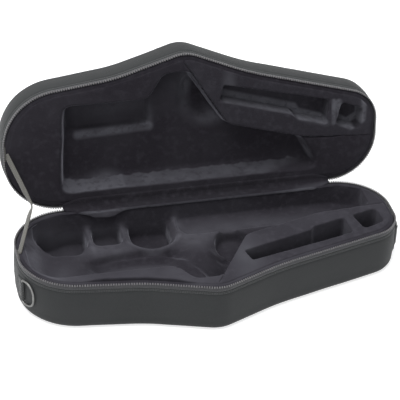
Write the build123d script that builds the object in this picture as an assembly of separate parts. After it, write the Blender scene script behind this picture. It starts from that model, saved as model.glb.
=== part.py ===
from build123d import *
from math import atan2, cos, radians, sin, tan
import os

# Shaped case for an alto saxophone: two moulded half shells, hinged along the straight rear
# side and closed by a zip that runs round the other three sides. Millimetres, +Z up.
# The origin is the centre of the base's flat underside, and the front is towards -Y.
# The base rests on the floor and the lid stands open, held back by its stay strap.

# Overall sizes
case_length = 660.0
case_width = 264.0
base_height = 91.0
lid_height = 70.0
lid_open = 99.0
lid_over_travel = 9.0

# Outline of the case, seen from above
rear_left_radius = 95.0
front_left_radius = 100.0
rear_right_radius = 85.0
front_right_radius = 60.0
left_end_width = 206.0
right_end_width = 157.0
bulge_left_slope = 16.7
bulge_right_slope = 22.8
bulge_left_run = 128.0
bulge_right_run = 119.0
bulge_place = -16.0
bulge_radius = 55.0
left_flank_radius = 300.0
right_flank_radius = 500.0

# Walls
cover_wall = 1.5
shell_wall = 9.0
corner_radius = 14.0
shell_bevel = 10.0
inner_bevel = 4.0
shell_fit = 0.2
parting_gap = 0.3
shell_drop = 5.0

# Zip
seam_drop = 11.0
tape_wall = 1.2
teeth_height = 2.7
teeth_width = 2.6
hinge_left = -210.0
hinge_right = 220.0

# Fabric hinge lining
lining_wall = 1.0
lining_reach = 19.0
lining_bend = 5.0
lining_fit = 0.05
lining_end_gap = 2.0

# Main recess of the base, which takes the instrument lying on its side
recess_margin_rear = 20.0
recess_margin_left = 17.0
recess_margin_right = 36.0
recess_front = -58.0
recess_depth = 33.0
recess_draft = 6.0
recess_radii = (65.0, 58.0, 25.0, 22.0)
recess_end_radius = 16.0
shoulder_drop = 5.0
shoulder_run = 32.0
bulge_shoulder = 28.0
bulge_recess_front = -100.0
bulge_recess_left = -52.0
block_slope_foot = -6.0
block_corner = (60.0, 4.0)
block_knee = (200.0, 43.0)
block_end_width = 60.0
block_edge_radii = (20.0, 30.0, 150.0, 10.0)

# Key pockets, bow pocket and tube troughs below the base's main recess
pocket_rear_gap = 3.5
bow_pocket_gap = 32.0
bow_pocket_radii = (16.0, 30.0, 30.0, 8.0)
bow_pocket_length = 84.0
bow_pocket_width = 66.0
bow_pocket_depth = 73.0
key_pocket_left = -190.0
key_pocket_right = -137.0
key_pocket_width = 46.0
key_pocket_depth = 69.0
key_pocket_radii = (8.0, 12.0, 12.0, 8.0)
cup_pocket_place = (-88.0, 80.0)
cup_pocket_radius = 37.0
cup_rim_radius = 45.0
cup_pocket_depth = 71.0
cup_rim_depth = 41.0
cup_corner = 6.0
cup_front_flat = 1.0
body_trough_left = -40.0
body_trough_width = 44.0
body_trough_depth = 40.0
body_trough_end_gap = 6.0
body_trough_radii = (14.0, 20.0, 8.0, 8.0)
bell_key_place = (46.0, 38.0)
bell_key_radius = 32.0
bell_key_depth = 62.0
bell_tube_radius = 34.0
bell_tube_rise = 19.0
bell_tube_left = -222.0
bell_tube_right = -52.0
bell_tube_line = -2.0

# Bell of the instrument: its mouth lies against the block's sloping face
bell_mouth_radius = 62.0
bell_neck_radius = 34.0
bell_rim_width = 16.0
bell_flare_length = 70.0
bell_curve = (0.42, 0.3)
bell_clearance = 2.0
bell_centre = (24.0, -40.0)
bell_axis_turn = 147.0

# Recess of the lid
lid_recess_left = -234.0
lid_recess_rear = 28.0
lid_recess_front = -56.0
lid_recess_depth = 40.0
lid_recess_draft = 12.0
lid_recess_tip = (226.0, 104.0)
lid_recess_knee = (196.0, 42.0)
lid_recess_skew = 8.0
lid_recess_radii = (20.0, 14.0, 25.0, 22.0, 20.0, 30.0, 20.0, 9.0)
lid_step_radius = 8.0
lid_step_left = -218.0
lid_step_right = -72.0
lid_step_front = -50.0
lid_step_rear = 6.0
lid_step_depth = 52.0

# Accessory block, with a stepped pocket for the neck and one for the mouthpiece
block_fit = 0.2
block_overrun = 20.0
block_far_radius = 1.0
neck_pocket = [(45.0, -40.0), (52.0, -69.0), (180.0, -39.0), (241.0, -24.0), (238.0, 21.0),
               (180.0, 5.0), (172.0, -4.0)]
neck_pocket_radius = 3.0
mouthpiece_pocket = [(254.0, 25.0), (264.0, -17.0), (304.0, -2.0), (300.0, 38.0)]
mouthpiece_radius = 7.0
base_block_depth = 46.0
lid_block_depth = 30.0
pocket_draft = 3.0

# Stay strap between the left rims, sewn down in the groove between the zip and the lining foam
stay_from_hinge = 110.0
stay_width = 20.0
stay_wall = 1.6
stay_slack = 34.0
stay_lift = 0.3
stay_stations = (0, 0.04, 0.25, 0.5, 0.75, 0.96, 1)
anchor_length = 26.0
anchor_width = 7.0
anchor_wall = 1.5

# D-rings at the two ends of the base
ring_wire = 4.0
ring_sides = 12
ring_bar = 46.0
ring_depth = 28.0
ring_bar_corner = 4.0
ring_bow_corner = 19.0
ring_height = 46.0
ring_running = 0.08
tab_width = 36.0
tab_wall = 1.8
tab_length = 24.0
tab_seat = 0.1
left_ring_turn = 22.0
right_ring_place = 15.0
left_ring_fold = 9.0
right_ring_fold = 2.5
loop_reach = 8.0
loop_wall_gap = 0.05

# Zip end stops, sliders and pulls
stop_length = 3.0
stop_bulge = 0.6
slider_length = 13.0
slider_height = 8.0
slider_wall = 2.2
slider_top_drop = 2.5
slider_corner = 3.0
slider_end_gap = 2.0
bridge_width = 3.4
bridge_height = 5.0
bridge_drop = 1.5
bridge_flat = 0.8
pull_stand_off = 4.6
pull_length = 34.0
pull_width = 8.0
pull_wall = 1.8
pull_eye = 6.0
pull_hole = 1.6
pull_pin = 1.1
pull_side_gap = 0.4
pull_end_flat = 0.4
pull_running = 0.08

# Carry handle on the rear wall
handle_span = 124.0
handle_drop = 36.0
handle_rim_gap = 29.0
handle_stand_off = 11.0
handle_bend = 14.0
grip_radius = 9.0
grip_end_radius = 7.5
grip_length = 88.0
bar_width = 9.0
bar_wall = 3.0
eye_radius = 5.0
handle_pin_radius = 2.5
handle_running = 0.08
ear_wall = 3.0
ear_gap = 0.3
ear_margin = 3.0
pin_head = 1.0
pin_head_margin = 1.0
pin_fit = 0.05
grip_edge = 2.0
core_fit = 0.05
bracket_height = 40.0
bracket_drop = 4.0
bracket_wall = 2.0
bracket_corner = 5.0
rivet_radius = 4.0
rivet_rise = 1.6
rivet_hole = 1.6
rivet_fit = 0.05
rivet_lifts = (11.0, -19.0)
backing_wall = 1.5
backing_fit = 0.2

rear = case_width / 2
handle_pivot_height = base_height - handle_rim_gap
left = -case_length / 2
right = case_length / 2
left_foot = (left, rear - left_end_width)
right_foot = (right, rear - right_end_width)
cut_over = 2.0


def away(point, slope, run):
    """The point that far from another, in a direction of the plan given in degrees."""
    return point[0] + run * cos(radians(slope)), point[1] + run * sin(radians(slope))


def rounded(points, radii):
    """A closed face through points of the plan, each corner rounded by its radius."""
    return make_face(FilletPolyline(*points, radius=list(radii), close=True))


def bulge_corners():
    """The corner in front of the bell bulge, and the flanks' corners on its left and right."""
    bulge_y = -case_width / 2 + bulge_radius
    n1 = (-sin(radians(bulge_left_slope)), -cos(radians(bulge_left_slope)))
    n2 = (sin(radians(bulge_right_slope)), -cos(radians(bulge_right_slope)))
    reach = bulge_radius / (1 + n1[0] * n2[0] + n1[1] * n2[1])
    tip = (bulge_place + reach * (n1[0] + n2[0]), bulge_y + reach * (n1[1] + n2[1]))
    left_flank = away(tip, 180 - bulge_left_slope, bulge_left_run)
    right_flank = away(tip, bulge_right_slope, bulge_right_run)
    return left_flank, tip, right_flank


def outline():
    """The case's plan: a straight hinge side, two round ends and the bell bulge in front."""
    points = [(left, rear), left_foot, *bulge_corners(), right_foot, (right, rear)]
    radii = [rear_left_radius, front_left_radius, left_flank_radius, bulge_radius, right_flank_radius,
             front_right_radius, rear_right_radius]
    return rounded(points, radii)


case_face = outline()


def inset(distance):
    """The plan outline, moved inwards."""
    return offset(case_face, amount=-distance, kind=Kind.INTERSECTION) if distance else case_face


def slab(face, low, high):
    """A face of the plan, raised from one height to another."""
    return extrude(Pos(0, 0, low) * face, amount=high - low)


def round_bottom(solid, radius):
    """Rounds the edges round the lowest face."""
    return fillet(solid.faces().sort_by(Axis.Z)[0].edges(), radius)


# Each half is drawn with its rim at height 0 and its outer face below, then put in place.


def bevel_bottom(solid, leg):
    """Bevels the edges round the lowest face."""
    return chamfer(solid.faces().sort_by(Axis.Z)[0].edges(), leg)


def half_cover(height):
    """Nylon cover of one half, round outside and padded over the bevel of the shell's edge."""
    outer = round_bottom(slab(inset(0), -height, -seam_drop), corner_radius)
    inner = slab(inset(cover_wall), -height + cover_wall, cut_over)
    return outer - bevel_bottom(inner, shell_bevel)


def half_shell(height):
    """Stiff foam shell that gives the half its shape."""
    low = -height + cover_wall
    outer = bevel_bottom(slab(inset(cover_wall), low, -shell_drop), shell_bevel)
    inner = slab(inset(cover_wall + shell_wall), low + shell_wall, cut_over)
    return outer - bevel_bottom(inner, inner_bevel)


def insert_blank(height):
    """Solid lining foam before its recesses, filling the shell up to the rim."""
    face = inset(cover_wall + shell_wall + shell_fit)
    blank = slab(face, -height + cover_wall + shell_wall, -parting_gap)
    return bevel_bottom(blank, inner_bevel + shell_fit)


def well(points, radii, depth, draft):
    """A tapered tool that cuts a recess from above the rim down to a depth."""
    face = rounded(points, radii)
    return extrude(face, amount=-depth, taper=draft) + slab(face, 0, cut_over)


def box_points(x0, y0, x1, y1):
    """Corners of a rectangle in the plan, from its rear left corner and round by the front."""
    return [(x0, y1), (x0, y0), (x1, y0), (x1, y1)]


# Plan limits that the base's recesses share
recess_left = left + recess_margin_left
recess_right = right - recess_margin_right
recess_rear = rear - recess_margin_rear
pocket_rear = recess_rear - pocket_rear_gap
bulge_foot = [(bulge_recess_left - bulge_shoulder, recess_front), (bulge_recess_left, bulge_recess_front)]

# The accessory block's long edge towards the recess, from the bulge to the right end
block_edge = [(block_slope_foot, bulge_recess_front), block_corner, block_knee,
              (recess_right, recess_rear - block_end_width)]


def left_shoulder():
    """Foam that slopes from the left rim down to the shelf."""
    slope = Polyline((recess_left, -shoulder_drop), (recess_left + shoulder_run, -recess_depth),
                     (recess_left, -recess_depth), close=True)
    return extrude(Plane.XZ * make_face(slope), amount=case_width, both=True)


def base_recess():
    """The main recess of the base, down to the shelf."""
    points = [(recess_left, recess_rear), (recess_left, recess_front), *bulge_foot, *block_edge,
              (recess_right, recess_rear)]
    recess = well(points, [*recess_radii, *block_edge_radii, recess_end_radius], recess_depth, recess_draft)
    return recess - left_shoulder()


def bow_pocket():
    """Deep pocket for the bow's low key cups, at the left end."""
    x0 = recess_left + bow_pocket_gap
    points = box_points(x0, pocket_rear - bow_pocket_width, x0 + bow_pocket_length, pocket_rear)
    return well(points, bow_pocket_radii, bow_pocket_depth, pocket_draft)


def key_pocket():
    """Pocket for the side keys, between two ribs."""
    points = box_points(key_pocket_left, pocket_rear - key_pocket_width, key_pocket_right, pocket_rear)
    return well(points, key_pocket_radii, key_pocket_depth, pocket_draft)


def cup_pocket(radius, depth):
    """Pocket with a round front for the large key cups."""
    x, y = cup_pocket_place
    points = box_points(x - radius, y - radius, x + radius, pocket_rear)
    front = radius - cup_front_flat
    radii = (cup_corner, front, front, cup_corner)
    return well(points, radii, depth, pocket_draft)


def body_trough():
    """Trough along the hinge side for the body tube and its key stacks."""
    x1 = recess_right - body_trough_end_gap
    points = box_points(body_trough_left, pocket_rear - body_trough_width, x1, pocket_rear)
    return well(points, body_trough_radii, body_trough_depth, pocket_draft)


def bell_key_pocket():
    """Deep round pocket beside the accessory block for the bell's key cups."""
    face = Pos(*bell_key_place, 0) * Circle(bell_key_radius)
    return extrude(face, amount=-bell_key_depth, taper=pocket_draft)


def bell_tube_trough():
    """Long trough with round ends under the bell tube."""
    axis_height = -recess_depth + bell_tube_rise
    length = bell_tube_right - bell_tube_left - 2 * bell_tube_radius
    middle = Pos((bell_tube_left + bell_tube_right) / 2, bell_tube_line, axis_height)
    tube = middle * Rot(0, 90, 0) * Cylinder(bell_tube_radius, length)
    ends = [middle * Pos(side * length / 2, 0, 0) * Sphere(bell_tube_radius) for side in (-1, 1)]
    return [tube, *ends]


def bell_space():
    """The bell's flare turned about its own axis, which lies in the parting plane."""
    mouth = bell_mouth_radius + bell_clearance
    neck = bell_neck_radius + bell_clearance
    flare = bell_rim_width + bell_flare_length
    way, share = bell_curve
    middle = (neck + (mouth - neck) * share, bell_rim_width + bell_flare_length * way)
    rim = Polyline((0, 0), (mouth, 0), (mouth, bell_rim_width))
    curve = ThreePointArc((mouth, bell_rim_width), middle, (neck, flare))
    axis = Polyline((neck, flare), (0, flare), (0, 0))
    solid = revolve(Plane.XZ * make_face([rim, curve, axis]), Axis.Z)
    turn = radians(bell_axis_turn)
    plane = Plane(origin=(*bell_centre, 0), z_dir=(cos(turn), sin(turn), 0))
    return plane.location * solid


def block_region(gap):
    """Plan of the accessory block's corner of the insert, grown by a gap."""
    foot, corner = block_edge[0], block_edge[1]
    slope = (corner[0] - foot[0]) / (corner[1] - foot[1])
    start = (foot[0] - block_overrun * slope, foot[1] - block_overrun)
    far_right = right + block_overrun
    points = [start, *block_edge[1:3], (far_right, block_edge[3][1]), (far_right, start[1] - cut_over)]
    far = block_far_radius
    face = rounded(points, (far, *block_edge_radii[1:3], far, far))
    return offset(face, amount=gap, kind=Kind.INTERSECTION) if gap else face


def accessory_block(height, depth):
    """Foam block with the neck and mouthpiece pockets, filling the right front corner."""
    blank = insert_blank(height) & slab(block_region(0), -height, cut_over)
    neck = well(neck_pocket, [neck_pocket_radius] * len(neck_pocket), depth, pocket_draft)
    mouthpiece = well(mouthpiece_pocket, [mouthpiece_radius] * len(mouthpiece_pocket), depth, pocket_draft)
    return blank - neck - mouthpiece


def base_insert():
    """Moulded lining foam of the base, with the instrument's recesses."""
    solid = insert_blank(base_height) - slab(block_region(block_fit), -base_height, cut_over)
    cups = [cup_pocket(cup_pocket_radius, cup_pocket_depth), cup_pocket(cup_rim_radius, cup_rim_depth)]
    for tool in (base_recess(), bell_space(), bow_pocket(), key_pocket(), *cups, body_trough(),
                 bell_key_pocket(), *bell_tube_trough()):
        solid = solid - tool
    return solid


def lid_recess():
    """The main recess of the lid, drafted so that the lining drapes into it."""
    left_front = (lid_recess_left + lid_recess_skew, lid_recess_front)
    points = [(lid_recess_left, rear - lid_recess_rear), left_front, (bulge_foot[0][0], lid_recess_front),
              bulge_foot[1], *block_edge[:2], lid_recess_knee, lid_recess_tip]
    return well(points, lid_recess_radii, lid_recess_depth, lid_recess_draft)


def lid_insert():
    """Moulded lining foam of the lid, drawn rim up like the base."""
    solid = insert_blank(lid_height) - slab(block_region(block_fit), -lid_height, cut_over)
    step = well(box_points(lid_step_left, lid_step_front, lid_step_right, lid_step_rear),
                [lid_step_radius] * 4, lid_step_depth, pocket_draft)
    return solid - lid_recess() - bell_space() - step


def rim_band(width, low, high, end_gap):
    """A band round the rim, flush with the outline, that leaves the hinge side open."""
    band = slab(inset(0), low, high) - slab(inset(width), low - cut_over, high + cut_over)
    opening = Box(hinge_right - hinge_left + 2 * end_gap, rear_right_radius, 2 * base_height)
    return band - Pos((hinge_left + hinge_right) / 2, rear, 0) * opening


teeth_low = -parting_gap - teeth_height


def zip_tape():
    """Zip tape sewn to the cover's edge."""
    return rim_band(tape_wall, -seam_drop, teeth_low, 0)


def zip_teeth():
    """The row of teeth along the tape's free edge, as one bead."""
    return rim_band(teeth_width, teeth_low, -parting_gap, stop_length)


def zip_stops():
    """End stops crimped on the tape where the row of teeth ends, beside the hinge."""
    width = teeth_width + stop_bulge
    stop = Box(stop_length, width, teeth_height)
    height = teeth_low + teeth_height / 2
    places = (hinge_left - stop_length / 2, hinge_right + stop_length / 2)
    return [Pos(x, rear - width / 2, height) * stop for x in places]


# Placing: a base piece is lifted to the rim height, and a lid piece is turned over and opened.

hinge_axis = Axis((0, rear, base_height), (1, 0, 0))


def on_base(solid):
    return Pos(0, 0, base_height) * solid


def opened(solid):
    """Turns a piece of the closed lid about the hinge to the open pose."""
    return solid.rotate(hinge_axis, -lid_open)


def on_lid(solid):
    return opened(Pos(0, 0, base_height) * mirror(solid, about=Plane.XY))


def hinge_profile(points, x0, x1):
    """A strip along the hinge from (y, z) points measured from the hinge line."""
    line = Polyline(*[(y, z) for y, z in points], close=True)
    face = Plane((x0, rear, base_height), x_dir=(0, 1, 0), z_dir=(1, 0, 0)) * make_face(line)
    return extrude(face, amount=x1 - x0)


# Directions in the open lid: away from the hinge along the rim, and from the rim to its top face
along = (-cos(radians(lid_open)), sin(radians(lid_open)))
through = (sin(radians(lid_open)), cos(radians(lid_open)))


def lid_point(from_hinge, above_rim):
    """(y, z) from the hinge line of a point of the open lid."""
    return (along[0] * from_hinge + through[0] * above_rim, along[1] * from_hinge + through[1] * above_rim)


def hinge_cover():
    """Outer fabric of the hinge, which carries on from the covers between their seams."""
    corner = lid_point(tape_wall, 0)
    slide = (-tape_wall - corner[0]) / through[0]
    mitre = (-tape_wall, corner[1] + through[1] * slide)
    points = [(-tape_wall, -seam_drop), (0, -seam_drop), (0, 0), lid_point(0, seam_drop),
              lid_point(tape_wall, seam_drop), mitre]
    return hinge_profile(points, hinge_left, hinge_right)


def hinge_lining():
    """Inner lining strip that lies on both rear rims and hides the hinge gap."""
    under = -parting_gap + lining_fit
    over = under + lining_wall
    bend = lining_bend + lining_wall
    points = [(-lining_reach, under), (-lining_bend, under), lid_point(lining_bend, -under),
              lid_point(lining_reach, -under), lid_point(lining_reach, -over), lid_point(bend, -over),
              (-bend, over), (-lining_reach, over)]
    return hinge_profile(points, hinge_left + lining_end_gap, hinge_right - lining_end_gap)


stay_x = left + cover_wall + shell_wall / 2
stay_y = rear - stay_from_hinge


def stay_anchor():
    """Folded webbing end, sewn down on the shell's rim below the lining."""
    low = -shell_drop
    return Pos(stay_x, stay_y, low + anchor_wall / 2) * Box(anchor_width, anchor_length, anchor_wall)


def stay_strap():
    """The slack webbing strap that stops the lid, folded inwards between its two anchors."""
    sunk = shell_drop - anchor_wall - stay_lift
    far = lid_point(stay_from_hinge, sunk)
    foot = Vector(stay_x, stay_y, base_height - sunk)
    head = Vector(stay_x, rear + far[0], base_height + far[1])
    knee = (foot + head) / 2 + Vector(stay_slack, 0, 0)
    path = Spline(foot, knee, head, tangents=[(0, 0, 1), (0, *through)])
    sections = []
    for share in stay_stations:
        turn = radians(lid_open) * share
        flat = Vector(0, cos(turn), -sin(turn))
        tangent = path % share
        across = (flat - tangent * flat.dot(tangent)).normalized()
        section = Plane(origin=path @ share, x_dir=across, z_dir=tangent)
        sections.append(section * Rectangle(stay_width, stay_wall))
    return loft(sections)


loop_radius = ring_wire / 2 + ring_running + tab_wall
ring_stand_off = loop_radius + loop_wall_gap


def ring_seats():
    """Left and right places of a ring's bar, with local X along the wall and local Y into it."""
    flank = bulge_corners()[0]
    slope = atan2(left_foot[1] - flank[1], flank[0] - left_foot[0])
    centre_x = left + front_left_radius
    centre_y = left_foot[1] + front_left_radius * (1 / cos(slope) - tan(slope))
    turn = radians(left_ring_turn)
    reach = front_left_radius + ring_stand_off
    left_origin = (centre_x - reach * cos(turn), centre_y - reach * sin(turn), ring_height)
    right_origin = (right + ring_stand_off, right_ring_place, ring_height)
    return {
        "left": Plane(origin=left_origin, x_dir=(sin(turn), -cos(turn), 0), z_dir=(0, 0, 1)),
        "right": Plane(origin=right_origin, x_dir=(0, 1, 0), z_dir=(0, 0, 1)),
    }


def d_ring(seat, fold):
    """Welded wire ring: a straight bar in the tab's loop and a round bow, folded to the wall."""
    half = ring_bar / 2
    path = FilletPolyline((0, 0, 0), (0, 0, half), (ring_depth, 0, half), (ring_depth, 0, -half),
                          (0, 0, -half), close=True,
                          radius=[0, ring_bar_corner, ring_bow_corner, ring_bow_corner, ring_bar_corner])
    ring = sweep(Plane.XY * RegularPolygon(ring_wire / 2, ring_sides), path=path)
    return seat.location * Rot(0, 0, fold) * ring


def ring_tab(seat):
    """Webbing tab: a patch sewn to the wall that loops round the ring's bar."""
    low = ring_height - tab_width / 2
    high = ring_height + tab_width / 2
    patch = slab(inset(-tab_seat - tab_wall), low, high) - slab(inset(-tab_seat), 0, base_height)
    reach = Box(tab_length, 2 * tab_length, 2 * tab_width)
    patch = patch & (seat.location * Pos(-tab_length / 2, 0, 0) * reach)
    ply = tab_wall / 2
    edges = [*Circle(loop_radius).edges(), *(Pos(-loop_reach, ring_stand_off - ply) * Circle(ply)).edges()]
    loop = extrude(Pos(0, 0, -tab_width / 2) * make_hull(edges), amount=tab_width)
    loop = loop - Cylinder(ring_wire / 2 + ring_running, tab_width + cut_over)
    return patch + seat.location * loop


slider_reach = slider_end_gap + slider_length / 2
slider_places = {"left": hinge_left - slider_reach, "right": hinge_right + slider_reach}
slider_high = base_height - slider_top_drop
pull_line = (rear + pull_stand_off, slider_high - bridge_drop - bridge_height / 2)
handle_line = (rear + handle_stand_off, handle_pivot_height)


def zip_slider(x):
    """Slider plate on the tape, with the bridge that the pull hangs from."""
    plate = Pos(x, rear + slider_wall / 2, slider_high - slider_height / 2)
    plate = plate * Box(slider_length, slider_wall, slider_height)
    plate = fillet(plate.edges().filter_by(Axis.Y), slider_corner)
    depth = pull_stand_off + bridge_height / 2 - slider_wall
    bridge = Pos(x, rear + slider_wall + depth / 2, pull_line[1]) * Box(bridge_width, depth, bridge_height)
    nose = bridge.faces().sort_by(Axis.Y)[-1].edges().filter_by(Axis.X)
    bridge = fillet(nose, (bridge_height - bridge_flat) / 2)
    bore = Pos(x, *pull_line) * Rot(0, 90, 0) * Cylinder(pull_pin + pull_running, 2 * bridge_width)
    return plate + bridge - bore


def zip_pull(x):
    """Pull tab with a thin pin through the slider's bridge."""
    gap = bridge_width / 2 + pull_side_gap
    arm = pull_width / 2 - gap
    tongue = pull_length - pull_eye
    pull = Pos(0, 0, -pull_eye - tongue / 2) * Box(pull_width, pull_wall, tongue)
    end = pull.faces().sort_by(Axis.Z)[0].edges().filter_by(Axis.Y)
    pull = fillet(end, (pull_width - pull_end_flat) / 2)
    hole = Pos(0, 0, pull_width / 2 - pull_length) * Rot(90, 0, 0) * Cylinder(pull_hole, 2 * pull_wall)
    pull = pull - hole
    for side in (-1, 1):
        pull = pull + Pos(side * (gap + arm / 2), 0, -pull_eye / 2) * Box(arm, 2 * pull_pin, pull_eye)
    pin = Rot(0, 90, 0) * Cylinder(pull_pin, pull_width)
    return Pos(x, *pull_line) * (pull + pin)


def handle_core():
    """Flat steel bow inside the grip, with an eye at each end for its pin."""
    half = handle_span / 2
    path = FilletPolyline((-half, 0, 0), (-half, 0, -handle_drop), (half, 0, -handle_drop), (half, 0, 0),
                          radius=handle_bend)
    core = sweep(Pos(-half, 0, 0) * Rectangle(bar_width, bar_wall), path=path)
    for side in (-1, 1):
        core = core + Pos(side * half, 0, 0) * Rot(0, 90, 0) * Cylinder(eye_radius, bar_width)
    for side in (-1, 1):
        bore = Cylinder(handle_pin_radius + handle_running, 2 * bar_width)
        core = core - Pos(side * half, 0, 0) * Rot(0, 90, 0) * bore
    return Pos(0, *handle_line) * core


def handle_grip():
    """Moulded rubber grip over the core, fuller in the middle and bevelled at its ends."""
    half = grip_length / 2
    end = grip_end_radius - grip_edge
    points = [(0, -half), (end, -half), (grip_end_radius, grip_edge - half), (grip_radius, -half / 3),
              (grip_radius, half / 3), (grip_end_radius, half - grip_edge), (end, half), (0, half)]
    grip = revolve(Plane.XZ * make_face(Polyline(*points, close=True)), Axis.Z)
    slot = Box(bar_width + 2 * core_fit, bar_wall + 2 * core_fit, grip_length + cut_over)
    return Pos(0, *handle_line) * Pos(0, 0, -handle_drop) * Rot(0, 90, 0) * (grip - slot)


ear_gap_half = bar_width / 2 + ear_gap
bracket_width = 2 * (ear_gap_half + ear_wall + ear_margin)
bracket_middle = handle_pivot_height - bracket_drop
rivet_drill = 4 * (bracket_wall + cover_wall + backing_wall)


def through_holes(side, radius, length):
    """Drills along Y for one bracket's rivets."""
    return [Pos(side * handle_span / 2, rear, handle_pivot_height + lift) * Rot(90, 0, 0) *
            Cylinder(radius, length) for lift in rivet_lifts]


def handle_bracket(side):
    """Riveted bracket with two ears that carry the handle's pin."""
    x = side * handle_span / 2
    plate = Box(bracket_width, bracket_wall, bracket_height)
    bracket = fillet(plate.edges().filter_by(Axis.Y), bracket_corner)
    bracket = Pos(x, rear + bracket_wall / 2, bracket_middle) * bracket
    reach = handle_stand_off - bracket_wall
    for ear_side in (-1, 1):
        ear_x = x + ear_side * (ear_gap_half + ear_wall / 2)
        foot = Pos(ear_x, rear + bracket_wall + reach / 2, handle_pivot_height)
        bracket = bracket + foot * Box(ear_wall, reach, 2 * eye_radius)
        bracket = bracket + Pos(ear_x, *handle_line) * Rot(0, 90, 0) * Cylinder(eye_radius, ear_wall)
    bore = Pos(x, *handle_line) * Rot(0, 90, 0) * Cylinder(handle_pin_radius + pin_fit, 2 * bracket_width)
    return bracket - bore - through_holes(side, rivet_hole, rivet_drill)


def handle_pin(side):
    """Headed pin through the ears and the handle's eye."""
    length = 2 * (ear_gap_half + ear_wall + pin_fit)
    pin = Cylinder(handle_pin_radius, length)
    head_radius = handle_pin_radius + pin_head_margin
    for end in (-1, 1):
        pin = pin + Pos(0, 0, end * (length + pin_head) / 2) * Cylinder(head_radius, pin_head)
    return Pos(side * handle_span / 2, *handle_line) * Rot(0, 90, 0) * pin


backing_face = rear - cover_wall


def handle_backing(side):
    """Steel plate between the cover and the shell that spreads the handle's pull."""
    x = side * handle_span / 2
    plate = Pos(x, backing_face - backing_wall / 2, bracket_middle)
    plate = plate * Box(bracket_width, backing_wall, bracket_height)
    plate = fillet(plate.edges().filter_by(Axis.Y), bracket_corner)
    return plate - through_holes(side, rivet_hole, rivet_drill)


def backing_pocket(side):
    """Space in the shell for a backing plate."""
    depth = backing_wall + backing_fit
    width = bracket_width + 2 * backing_fit
    height = bracket_height + 2 * backing_fit
    return Pos(side * handle_span / 2, backing_face - depth / 2, bracket_middle) * Box(width, depth, height)


def bracket_rivet(side, lift):
    """Rivet with a low round head outside, clenched flush in the backing plate."""
    shank = bracket_wall + cover_wall + backing_wall + rivet_fit
    on_wall = (Align.CENTER, Align.CENTER, Align.MIN)
    head = Cone(rivet_radius, rivet_radius - rivet_rise, rivet_rise, align=on_wall)
    body = Pos(0, 0, -shank / 2) * Cylinder(rivet_hole - rivet_fit, shank)
    place = Pos(side * handle_span / 2, rear + bracket_wall + rivet_fit / 2, handle_pivot_height + lift)
    return place * Rot(-90, 0, 0) * (head + body)


parts = {}
for half, height, place in (("base", base_height, on_base), ("lid", lid_height, on_lid)):
    parts[half + "_cover"] = place(half_cover(height))
    parts[half + "_shell"] = place(half_shell(height))
    parts[half + "_zip_tape"] = place(zip_tape())
    parts[half + "_zip_teeth"] = place(zip_teeth())
    parts[half + "_zip_stops"] = Compound([place(stop) for stop in zip_stops()])
    parts[half + "_stay_anchor"] = place(stay_anchor())
for side in (-1, 1):
    parts["base_cover"] = parts["base_cover"] - through_holes(side, rivet_hole, rivet_drill)
    parts["base_shell"] = parts["base_shell"] - backing_pocket(side)
parts["base_insert"] = on_base(base_insert())
parts["lid_insert"] = on_lid(lid_insert())
parts["base_accessory_block"] = on_base(accessory_block(base_height, base_block_depth))
parts["lid_accessory_block"] = on_lid(accessory_block(lid_height, lid_block_depth))
parts["hinge_cover"] = hinge_cover()
parts["hinge_lining"] = hinge_lining()
parts["stay_strap"] = stay_strap()
for side, fold in (("left", left_ring_fold), ("right", right_ring_fold)):
    parts["d_ring_" + side] = d_ring(ring_seats()[side], fold)
    parts["d_ring_tab_" + side] = ring_tab(ring_seats()[side])
for side, x in slider_places.items():
    parts["zip_slider_" + side] = zip_slider(x)
    parts["zip_pull_" + side] = zip_pull(x)
parts["handle_core"] = handle_core()
parts["handle_grip"] = handle_grip()
parts["handle_brackets"] = Compound([handle_bracket(side) for side in (-1, 1)])
parts["handle_backing_plates"] = Compound([handle_backing(side) for side in (-1, 1)])
parts["handle_pins"] = Compound([handle_pin(side) for side in (-1, 1)])
parts["handle_rivets"] = Compound([bracket_rivet(side, lift) for side in (-1, 1) for lift in rivet_lifts])

os.makedirs("parts", exist_ok=True)
for name, solid in parts.items():
    export_step(solid, f"parts/{name}.step")
    print(name, round(solid.volume / 1000, 2), "cm3")
print("hinge line y z", (rear, base_height), "pull line y z", pull_line, "handle line y z", handle_line)
for side, seat in ring_seats().items():
    print(side, "ring bar at", [round(value, 3) for value in seat.origin])
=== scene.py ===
# %% [markdown]
# An alto saxophone case stands open: a base and a lid of stiff foam, covered in nylon outside and
# lined with moulded plush inside, joined by a fabric hinge and closed by a zip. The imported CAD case
# is the fixed frame, and every soft piece below is made again over it with its real surface.

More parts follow.
